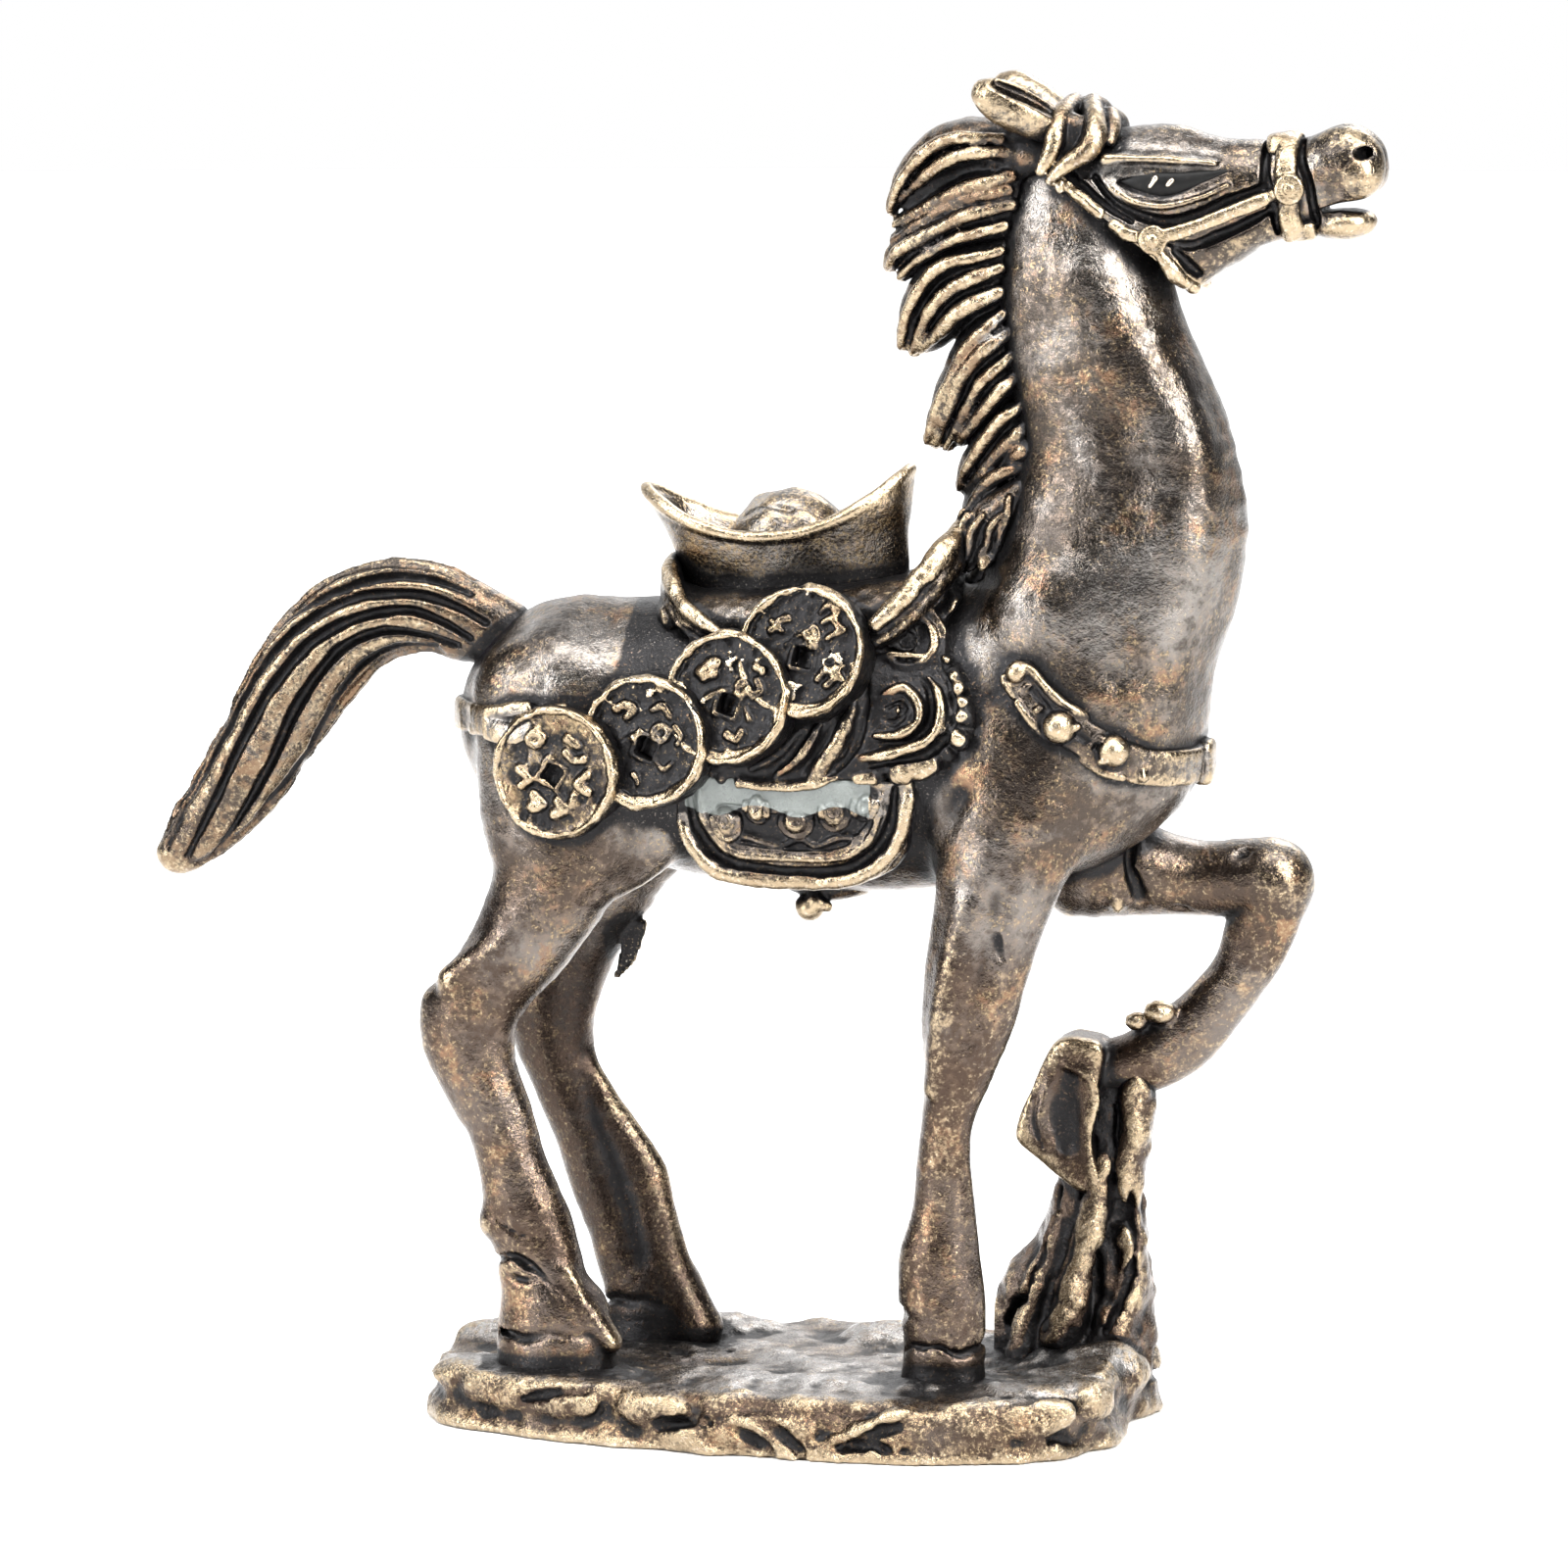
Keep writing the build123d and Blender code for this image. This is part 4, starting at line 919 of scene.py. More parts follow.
def saddle(body):
    low, high = between(
        "saddle_seat", "saddle_skirt_right", "saddle_fender_right", "saddle_pommel", "saddle_cantle",
        "saddle_fender_left", "shoulder_coin_right", margin=0.8,
    )
    clay = Clay((low[0], -5.9, 23.2), (high[0] + 0.3, 5.9, high[2] + 0.2), STEP_TACK)
    seat = """
        -3.1 31, -2.2 29.8, -1.9 26.5, -1.6 25, -.3 24.4, 1.2 24.22, 2.6 24.25, 4 24.5, 5.6 24.75,
        7 25.25, 8 26.1, 8.15 27.2, 7.6 28.6, 7.2 30, 7.4 31.2, 3 33, -1.5 33"""
    clay.drape(body, seat, SADDLE_LIFT, depth=0.9)
    clay.add(limb("-3 0 30 .9 2.6, .5 0 30 1.2 3, 4.5 0 30.3 1.2 2.9, 6.6 0 30.9 .9 2.2"), 0.5)
    # skirt: bright lower welt and the folds that hang over it
    clay.add(both(welt(clay, """
        -1.8 25.2 .1, -1.4 24.7 .17, -.3 24.4 .21,
        1.2 24.28 .23, 2.6 24.32 .21,
        3.6 24.55 .14""", height=[0.15, 0.25, 0.34, 0.36, 0.34, 0.2])), 0.08)
    for line in lines("""
        4.3 27.8 .14, 4.1 26.8 .26, 3.6 25.7 .34, 3 24.8 .3, 2.7 24.4 .14;
        3.2 26.9 .1, 2.7 25.9 .22, 2 25.1 .26, 1.4 24.6 .14; 2.2 26.2 .08, 1.5 25.4 .22, .5 24.8 .12;
        1 25.6 .08, .2 25.1 .2, -.6 24.9 .1"""):
        clay.add(both(welt(clay, line)), 0.12)
    for line in lines("""
        3.7 26.9 .06, 3.1 25.7 .17, 2.3 24.7 .08; 2.6 26.3 .05, 2 25.4 .15, 1.2 24.7 .07;
        4.7 28 .1, 4.6 26.9 .18, 4.2 25.5 .2, 3.6 24.8 .1"""):
        clay.cut(both(welt(clay, line)), 0.08)
    # fender: three ridges one inside the other, with dark channels between them
    for line in lines("""
        7.35 28.9 .12, 7.9 28.3 .22, 8.3 27.4 .28, 8.25 26.3 .33, 7.6 25.5 .32, 6.6 24.95 .34, 5.5 24.7 .3,
        4.4 24.6 .18;
        6.9 28.2 .1, 7.35 27.6 .2, 7.45 26.8 .24, 7.1 26.05 .24, 6.2 25.65 .24, 5.2 25.4 .22, 4.6 25.3 .12;
        5.3 27.6 .1, 6 27.8 .2, 6.6 27.3 .24, 6.6 26.6 .2, 6 26.2 .22, 5 26.1 .1;
        4.7 28.8 .08, 5.4 28.9 .16, 6.2 28.9 .16, 6.8 29 .08; -1.2 28.2 .08, -.9 27.4 .2, -1.1 26.7 .08;
        5.9 27 .14, 6.1 26.8 .14"""):
        clay.add(both(welt(clay, line, tall=1.6)), 0.06)
    for line in lines("""
        7.2 28.6 .07, 7.75 27.8 .14, 7.85 26.7 .17, 7.4 25.85 .17, 6.4 25.35 .16, 4.8 25 .08;
        6.6 28.2 .06, 7 27.5 .13, 7 26.7 .16, 6.4 26 .14, 5.2 25.8 .07;
        5.4 27.1 .08, 5.9 27.3 .13, 6.1 26.9 .15, 5.7 26.6 .13, 5.3 26.7 .08"""):
        clay.cut(both(welt(clay, line, tall=1.6)), 0.06)
    # disc on the shoulder, half under the fourth coin
    x, _, z = place("shoulder_coin_right")[0]
    spot = clay.touch((x + 0.35, -7, z + 0.1), (0, 1, 0))
    disc = Plate(spot[0], spot[1] - 0.15, spot[2], lean=20)
    clay.add(both(disc.slab(oblong(1.4, 1.4), 0.9, 1.5)), 0.08)
    clay.cut(both(disc.slab(oblong(1.02, 1.05), 0.17, 1.2)), 0.1)
    arc = np.radians(np.arange(-150, 70, 12))
    lip = disc.route([(0.95 * math.cos(a), 0.95 * math.sin(a)) for a in arc], 0.02)
    clay.add(both(rod(lip, [0.1 + 0.13 * math.sin(math.pi * i / 18) for i in range(len(arc))])), 0.06)
    arc = np.radians(np.arange(0, 361, 30))
    eyelet = disc.route([(0.42 * math.cos(a) - 0.15, 0.42 * math.sin(a) + 0.1) for a in arc], -0.12)
    clay.add(both(rod(eyelet, 0.1)), 0.04)
    # pommel and cantle: rolled arches over the neck and the back
    for name, arch in (
        ("saddle_pommel", """
            4.9 -4 30.1 .28, 5.5 -3.8 30.6 .4, 6.3 -3.3 31.5 .44, 7.1 -2.5 32.5 .46,
            7.6 -1.3 33.2 .42, 7.7 0 33.4 .42"""),
        ("saddle_cantle", """
            -.6 -4.05 29.5 .14, -1.5 -3.7 29.95 .24, -2.4 -3.2 30.5 .28, -3 -2.3 31.1 .32,
            -3.3 -1.2 31.5 .32, -3.4 0 31.6 .32"""),
    ):
        middle, half = place(name)
        top = middle[2] + half[2] - 0.35
        rows = flow(arch, 5)
        rows[:, 2] += (top - rows[-1, 2]) * ease(0, 1, np.linspace(0, 1, len(rows)))
        clay.add(both(rod(rows)), 0.18)
        clay.add(both(rod(rows[:, :3] + (0.0, 0.35, -0.55), rows[:, 3] * 1.3)), 0.3)
    clay.add(both(welt(clay, "-3.3 30.2 .1, -2.9 29.5 .18, -2.2 29 .2, -1.2 28.7 .1")), 0.1)
    clay.cut(both(welt(clay, "-2.9 30.3 .08, -2.3 29.6 .16, -1.3 29.2 .18, -.2 29.1 .1")), 0.08)
    clay.cut(both(welt(clay, "4.6 29.6 .08, 5.5 30 .16, 6.4 30.9 .18, 7.2 31.9 .1")), 0.1)
    clay.wobble(".7 .05 71, .32 .04 74")
    return clay


# x, z, half width, half height and lean of each petal on the saddlecloth
PETALS = """
    -.55 22.75 .42 .62 -.25, .65 23.35 .36 .52 0, 2.05 22.85 .52 .48 0, 3.5 23.25 .5 .55 .3,
    4.65 23.55 .36 .5 .4"""
CLOTH_BULGE = 0.012          # how fast the saddlecloth's face curves back


def saddlecloth():
    """Thick hanging panel with a rolled border, an inner line and a row of petals under a plain band."""
    _, high = between("saddlecloth_right", "saddlecloth_hem_right", margin=0.9)
    clay = Clay((-3.6, -6.2, 19.4), (high[0] + 0.3, -1.6, 25.4), STEP_TACK)
    face = Plate(2.0, -4.62, 23.9, lean=-7)
    clay.add(face.slab(oblong(4.25, 3.4, 4), 3.0, 5.4, edge=0.3, bulge=CLOTH_BULGE))
    clay.cut([Shape((-6, -9, 24.45), (10, 9, 30), lambda x, y, z: 24.45 - z + 0 * x + 0 * y)])
    border = """
        -2.45 24.3 .14, -2.35 23.2 .2, -1.95 22 .25, -1.05 20.98 .3, .1 20.65 .28, 1.4 20.55 .3,
        2.9 20.6 .3, 4.2 20.85 .3, 5.3 21.5 .28, 5.95 22.6 .27, 6.2 23.9 .25, 6.2 24.5 .16"""
    clay.add(welt(clay, border), 0.06)
    clay.cut(welt(clay, """
        -1.95 24.2 .1, -1.85 23.2 .16, -1.5 22.2 .2, -.7 21.4 .22, .4 21.1 .2,
        1.8 21 .18, 3.3 21.05 .18, 4.3 21.35 .2, 5.1 22 .2, 5.6 23 .2,
        5.75 24.2 .12""", height=0.26), 0.05)
    clay.add(welt(clay, """
        -1.55 24 .08, -1.4 23 .14, -.9 22.1 .17, -.1 21.6 .16, 1.2 21.5 .14, 2.6 21.5 .13,
        3.8 21.6 .15, 4.7 22.2 .17, 5.15 23.2 .15, 5.25 24 .08"""), 0.06)
    # field cut back, wavy foot line and five petals
    ground = fence("""
        -.9 23.3, -.6 22.5, .1 21.95, 1.4 21.8, 2.8 21.8, 3.9 22, 4.5 22.6, 4.85 23.4, 4.2 23.55,
        2.9 23.1, 2 23.3, 1.2 23.1, 0 23.4""")

    def sunk_field(x, y, z):
        return soft_max(ground(x, z), y + 4.62 - 0.12 * (23.9 - z) - 0.3, 0.05)

    clay.cut([Shape((-1.2, -6.0, 21.5), (5.2, -2.5, 23.9), sunk_field)], 0.05)
    clay.add(welt(clay, """
        -.6 22 .1, .2 22.25 .16, .9 22.05 .15, 1.5 21.95 .13, 2.2 22.2 .15, 2.8 21.95 .13,
        3.6 22.3 .15, 4.4 22.3 .1"""), 0.05)
    for x, z, wide, high, tip in table(PETALS):
        spot = clay.touch((x, -7, z), (0, 1, 0))
        clay.add(blob(spot, (wide, 0.5, high), (1, 0, -tip)), 0.04)
        arc = np.radians(np.arange(-200, 21, 20))
        rim = [(x + wide * math.cos(a) + tip * 0.2 * math.sin(a), z + high * math.sin(a)) for a in arc]
        clay.add(welt(clay, rim, 0.13, 0.2), 0.03)
        clay.cut(blob(spot + (0.02, -0.5, 0.05), (wide * 0.45, 0.2, high * 0.45)), 0.05)
    clay.wobble(".6 .035 72, .3 .03 75")

    def above_field(points):
        out = points - face.origin
        height = out @ face.w + CLOTH_BULGE * ((out @ face.u) ** 2 + (out @ face.v) ** 2)
        return np.where(height < -0.5, 0.3, height + 0.23)

    return clay, above_field


def girth_knot():
    middle, half = place("girth_knot")
    clay = Clay(middle - half - 1.1, middle + half + 1.1, STEP_TACK)
    clay.add(limb("1 0 20.3 .6 .8, 2.2 0 20 .7 .9, 3.4 0 20.1 .6 .8, 4.6 0 20.3 .4 .6"), 0.2)
    clay.add(blob((middle[0] - 0.3, -0.6, middle[2] - 0.1), (0.55, 0.6, 0.5)), 0.15)
    clay.add(rod("2 -.8 19.8 .26, 2.1 -.9 19.4 .3, 2.5 -.8 19.2 .2", pieces=3), 0.12)
    clay.wobble(".5 .04 73")
    return clay


# ---------------------------------------------------------------- coins
# lean inwards at the top, turn that lifts the front edge, how far the middle lies behind the foremost edge,
# depth of the field, width of the rim, how much broader it is below, u and v of the hole, its edging
COINS = {
    "coin_1": (2.0, 11.0, 0.05, 0.04, 0.3, 0.12, (-0.1, -0.05), 0.1),
    "coin_2": (6.0, 11.0, 0.36, 0.22, 0.34, 0.16, (0.05, -0.2), 0.12),
    "coin_3": (12.0, 11.0, 0.71, 0.22, 0.34, 0.16, (0.05, -0.2), 0.12),
    "coin_4": (16.0, 8.0, 0.62, 0.22, 0.34, 0.16, (0.05, -0.2), 0.12),
}
# worn marks without meaning: each stroke's thickness, then its u, v points
MARKS = {
    "coin_1": """
        .17, -1 1.25, -.75 1.45, -.45 1.25, -.65 1, -.95 1.1; .17, .55 1.3, .95 1;
        .16, .5 .75, .8 .5, 1.15 .55; .2, 1.3 0, 1 -.35, 1.35 -.6; .19, -1.35 .05, -1 -.25, -1.3 -.5;
        .22, -.75 -.85, -.45 -1.15, -.85 -1.3; .2, .2 -1, .45 -1.35, .05 -1.5;
        .15, .85 -.75, .75 -1.15""",
    "coin_2": """
        .16, -1.15 1.1, -.8 1.35, -.45 1.15, -.75 .85; .14, .3 1.2, .7 1.35, .95 1;
        .14, .35 .4, .65 .65, .95 .4, .7 .1, .4 .2; .12, 1.2 .6, 1.45 .3, 1.3 0;
        .1, -.9 -.1, -.45 .2, -.1 .35; .12, .5 -.7, .8 -.95, 1.05 -.75;
        .12, -.35 -1.2, -.2 -1.5""",
    "coin_3": """
        .2, -1.15 .9, -.8 1.2, -.5 1.3; .14, -.95 .7, -.55 .85;
        .15, .35 .45, .6 .7, .8 .45, .6 .15, .35 .25; .15, 1.1 .75, 1.3 .4, 1.05 .15;
        .16, 1 1.2, 1.3 1.05; .1, -.75 0, -.3 .3, .1 .35; .17, .15 -1.3, .5 -1.45, .65 -1.2;
        .1, .75 -.3, .95 -.7""",
    "coin_4": """
        .16, -1.2 .75, -.9 1.1, -.6 1.2; .12, -1.25 1.1, -.85 .75; .14, .6 1.5, .9 1.75, 1.25 1.5;
        .14, .75 1.1, 1.1 1.3, 1.35 1; .13, .15 .5, .45 .9, .6 .5, .35 .15;
        .12, 1 .55, 1.3 .75, 1.55 .85; .1, -.65 .2, -.3 .5, .1 .65;
        .15, .75 -.95, 1.05 -.65, 1.4 -.85, 1.1 -1.15; .12, 1.3 -.6, 1.65 -.95""",
}


def coin(name):
    """Pierced cash coin with a worn raised rim, a square hole set askew and four illegible marks."""
    middle, half = place(f"{name}_right")
    lean, turn, back, field_depth, rim, broader, centre, edging = COINS[name]
    face = Plate(middle[0], middle[1] - half[1] + back, middle[2], lean, turn)
    number = int(name[-1])
    size = place("coin_1_right")[1][2]
    room = size + 0.5
    clay = Clay(middle - (room, half[1] + 0.7, room), middle + (room, half[1] + 0.4, room), STEP_TACK)

    def disc(u, v, grow=0.0, uneven=1.0):
        angle = np.arctan2(v, u)
        ragged = 0.045 * np.sin(3 * angle + number) + 0.03 * np.sin(5 * angle + 2 * number)
        ragged = ragged + 0.02 * np.sin(9 * angle)
        return np.hypot(u, v) - (size + grow + uneven * ragged)

    def dish(u, v):
        return disc(u, v - broader, -rim, 0.6)

    def hole(u, v):
        u, v = u - centre[0], v - centre[1]
        c, s = math.cos(askew), math.sin(askew)
        return (np.abs(u * c + v * s) + np.abs(v * c - u * s)) * 0.7071 - 0.36

    clay.add(face.slab(disc, 1.5, size + 0.3, edge=0.22))
    clay.cut(face.slab(dish, field_depth, size + 0.3, edge=0.08), 0.12)
    crest, turns = size - 0.16, np.radians(np.arange(0, 361, 9))
    around = face.route([(crest * math.cos(a), crest * math.sin(a)) for a in turns])
    clay.add(rod(around, [0.12 + 0.03 * math.sin(0.7 * i + number) for i in range(len(turns))]), 0.06)
    askew = math.radians(12 + 6 * number)
    turns = [askew + k * math.pi / 2 for k in range(5)]
    corners = [(centre[0] + 0.62 * math.cos(a), centre[1] + 0.62 * math.sin(a)) for a in turns]
    clay.add(rod(face.route(corners, -field_depth), edging), 0.05)
    clay.cut(face.slab(hole, 0.75, 0.9, edge=0.04), 0.05)
    for stroke in MARKS[name].split(";"):
        fat, points = stroke.split(",", 1)
        clay.add(rod(face.route(flow(points, 3), -field_depth + 0.03), float(fat) * 1.12), 0.06)
    clay.wobble([(0.55, 0.04, 80 + number), (0.26, 0.045, 90 + number)])
    if number == 1:                                 # the first coin's field is too shallow to stay black
        return clay, None
    return clay, lambda points: (points - face.origin) @ face.w + field_depth


# ---------------------------------------------------------------- ingot
def ingot():
    """Boat-shaped ingot with raised ends, and the dome that fills its hollow."""
    (x, y, z), (half_x, half_y, half_z) = place("ingot_boat")
    pitch = math.radians(5.2)
    foot = np.array([x + 0.15, y, 31.2])
    along = np.array([math.cos(pitch), 0, math.sin(pitch)])
    up = np.array([-math.sin(pitch), 0, math.cos(pitch)])
    length, breadth = half_x * 1.11, half_y * 1.08
    low, high = (x - half_x - 1.3, -half_y - 0.9, 30.3), (x + half_x + 1.6, half_y + 0.9, z + half_z + 1.6)
    clay = Clay(low, high, STEP_TACK)

    def half_long(h):
        return length * (0.8 + 0.2 * np.clip(h / 4.0, 0, 1) ** 1.3)

    def half_broad(h):
        return breadth * (0.64 + 0.36 * np.clip(h / 2.6, 0, 1) ** 1.4)

    def rim(s):
        return 1.8 + 2.15 * (np.abs(s) / length) ** 2.1

    def local(px, py, pz):
        dx, dz = px - foot[0], pz - foot[2]
        h = dx * up[0] + dz * up[2]
        return dx * along[0] + dz * along[2] - 0.45 * (1 - np.clip(h / 4, 0, 1)), py + 0 * px, h

    def hull(px, py, pz):
        s, t, h = local(px, py, pz)
        sides = rounded((s, half_long(h)), (t, half_broad(h)), power=2.15)
        return soft_max(soft_max(sides, (h - rim(s)) * 0.75, 0.15), -h - 0.5, 0.5)

    def hollow(px, py, pz):
        s, t, h = local(px, py, pz)
        sides = rounded((s, half_long(h) - 0.42), (t, half_broad(h) - 0.42), power=2.1)
        return soft_max(sides, 0.9 + 0.05 * s * s - h, 0.3)

    low, high = [axis[0] for axis in clay.axes], [axis[-1] for axis in clay.axes]
    clay.add([Shape(low, high, hull)])
    clay.cut([Shape(low, high, hollow)], 0.12)
    lip = []
    for a in np.radians(np.arange(0, 361, 6)):
        s = length * 0.96 * math.cos(a)
        h = rim(s)
        s = (half_long(h) - 0.16) * math.cos(a)
        t = (half_broad(h) - 0.16) * math.sin(a)
        lip.append(foot + along * s + up * (rim(s) - 0.04) + np.array([0, t, 0]))
    clay.add(rod(lip, 0.24), 0.12)
    clay.wobble(".9 .045 91")
    middle, half = place("ingot_dome")
    dome = Clay(middle - (half[0], half[1], half[2] + 1.0) - 0.5, middle + half + 0.7, STEP_TACK)
    crown = middle[2] + half[2]
    dome.add(blob((middle[0] + 0.1, 0, crown - 1.85), (2.25, 1.75, 1.85), along))
    crease = [
        (middle[0] - 1.4, -0.9, crown - 0.85, 0.08),
        (middle[0] - 0.6, -1.2, crown - 0.5, 0.12),
        (middle[0] + 0.4, -1.25, crown - 0.62, 0.06),
    ]
    dome.cut(rod(crease, pieces=4), 0.15)
    dome.wobble(".7 .1 92")
    return clay, dome


# ---------------------------------------------------------------- bridle
def bridle(head):
    """Straps of the bridle, laid in one piece on the head."""
    low, high = between(
        "noseband", "cheekpiece_right", "cheekpiece_left", "throat_strap_right", "crownpiece_right",
        "bridle_rosettes", margin=0.8,
    )
    clay = Clay((10.2, low[1] - 0.2, 40.6), (high[0] + 0.3, high[1] + 0.2, high[2] + 0.3), STEP_TACK)
    axis = (19.45, 0.0)
    nose = "19.1 -3 47.55, 19.2 -4 46.9, 19.4 -4 46, 19.65 -4 45.1, 19.85 -3 44.35"
    clay.add(both(welt(head, nose, 0.42, 0.34, sunk=0.02, square=3, toward=axis)), 0.05)
    # straps over and under the nose
    for x, z, way, side_x, side_z in ((19.0, 49.5, -1, 19.1, 47.3), (19.9, 42.0, 1, 19.9, 44.5)):
        start, side = head.touch((x, 0, z), (0, 0, way)), head.touch((side_x, -4, side_z), (0, 1, 0))
        bend = (start + side) / 2 + (0, -0.1, -way * 0.12)
        stations = [(*spot, 0.5, 0.28) for spot in (start, bend, side)]
        facing = [(0, 0, 1), (0, -0.7, 0.7 * -way), (0, -1, 0)]
        clay.add(both(limb(stations, facing, square=3)), 0.08)
    cheek = "14.9 44.15, 15.8 44.4, 17.2 44.95, 18.2 45.35, 19 45.7"
    clay.add(both(welt(head, cheek, 0.27, 0.24, square=3)), 0.06)
    crown = "11.2 46.05, 11.6 45.75, 12.6 44.85, 13.4 44.35, 14.4 44.05"
    clay.add(both(welt(head, crown, 0.25, 0.22, sunk=0.06, square=3)), 0.06)
    throat = "14.8 43.75 .2, 15.15 43.25 .28, 15.55 42.7 .33, 15.95 42.2 .3"
    clay.add(both(welt(head, throat, height=0.26)), 0.06)
    for x, z, radius in ((14.7, 44.05, 0.56), (19.55, 45.9, 0.58)):
        spot = clay.touch((x, -4, z), (0, 1, 0))
        clay.add(both(blob(spot + (0, 0.12, 0), (radius, 0.36, radius))), 0.04)
        clay.add(both(ring(spot + (0, -0.06, 0), (radius * 0.82, 0, 0), (0, 0, radius * 0.82), 0.1)), 0.03)
        clay.cut(both(ring(spot + (0, -0.22, 0), (radius * 0.45, 0, 0), (0, 0, radius * 0.45), 0.08)), 0.03)
    clay.wobble(".5 .025 101")
    return clay


# ---------------------------------------------------------------- rock
# roots from the top down: x, y, z, half depth, half width
STUMP = """
    12.1 3.3 12 1.15 1.2, 12.1 3.3 9 1.6 1.3, 11.7 3.3 6 2.1 1.5, 11.3 3.2 2.2 2.8 2;
    13.5 2.6 12.3 .58 .8, 13.45 2.5 10.6 .58 .8, 13.2 2.5 9 .55 .8, 13.2 2.6 6.8 .58 .9, 13.35 2.5 5 .6 .9,
    12.9 2.3 3.6 .8 1, 12.3 2 2.2 1.2 1.2;
    11.4 3.7 9.8 .75 1, 11 3.8 8 .85 1.1, 10.2 3.9 6 1 1.2, 9.3 3.8 4.3 1.25 1.3, 8.8 3.8 2.2 1.4 1.5;
    12.3 2.1 9.6 .45 .55, 12 1.9 7.5 .55 .7, 11.4 1.7 5.2 .65 .85, 10.8 1.5 3 .85 1;
    10.6 2.4 7.4 .3 .5, 10.1 2.3 5.6 .45 .6, 9.6 2.1 3.8 .55 .7, 9.3 2 2.2 .7 .7"""


def stump():
    low, high = between("rock_stump", margin=1.0)
    clay = Clay((low[0], low[1], 1.2), high, STEP_ROCK * 0.8)
    for root in lines(STUMP):
        clay.add(limb(root), 0.12)
    for line in lines("""
        12.85 12.6 .1, 12.8 10.4 .16, 12.75 8 .2, 12.3 6.3 .18, 12.1 4.4 .16, 11.8 3 .1;
        11.9 10.4 .1, 11.6 8.8 .16, 11.35 7 .2, 10.8 5.2 .18, 10.2 3.6 .16;
        13.35 8.6 .1, 13.6 6.6 .16, 13 4.6 .2, 12.6 3.4 .18;
        10.6 8.4 .1, 10.2 6.6 .16, 9.5 4.8 .2, 8.7 3.4 .18"""):
        clay.cut(welt(clay, line, height=0.4), 0.12)
    clay.wobble("1.3 .2 111, .55 .1 112, .3 .05 113")
    return clay


# x, y of the slab's foot
ROCK_OUTLINE = """
    13.6 -3.6, 13.7 1, 14 4.6, 11 7.2, 5 7.9, -1.5 7.6, -7 7.4, -11.6 5.6, -12.4 .8, -11.4 -4.2,
    -6 -6.6, 0 -7.8, 6 -8.1, 11.2 -6.8"""

# x, z, radii and way of the smooth lobes along the front
ROCK_LOBES = """
    -7.6 1.5 3.1 .55 .72 1 -.4 0, -2.7 1.45 1.5 .5 .62 1 -.2 .05, 1.4 .95 2.3 .5 .7 1 -.08 0,
    9.3 1.45 3.6 .55 .85 1 .25 .12, 12.9 1.9 1 .9 .8 .6 1 0"""


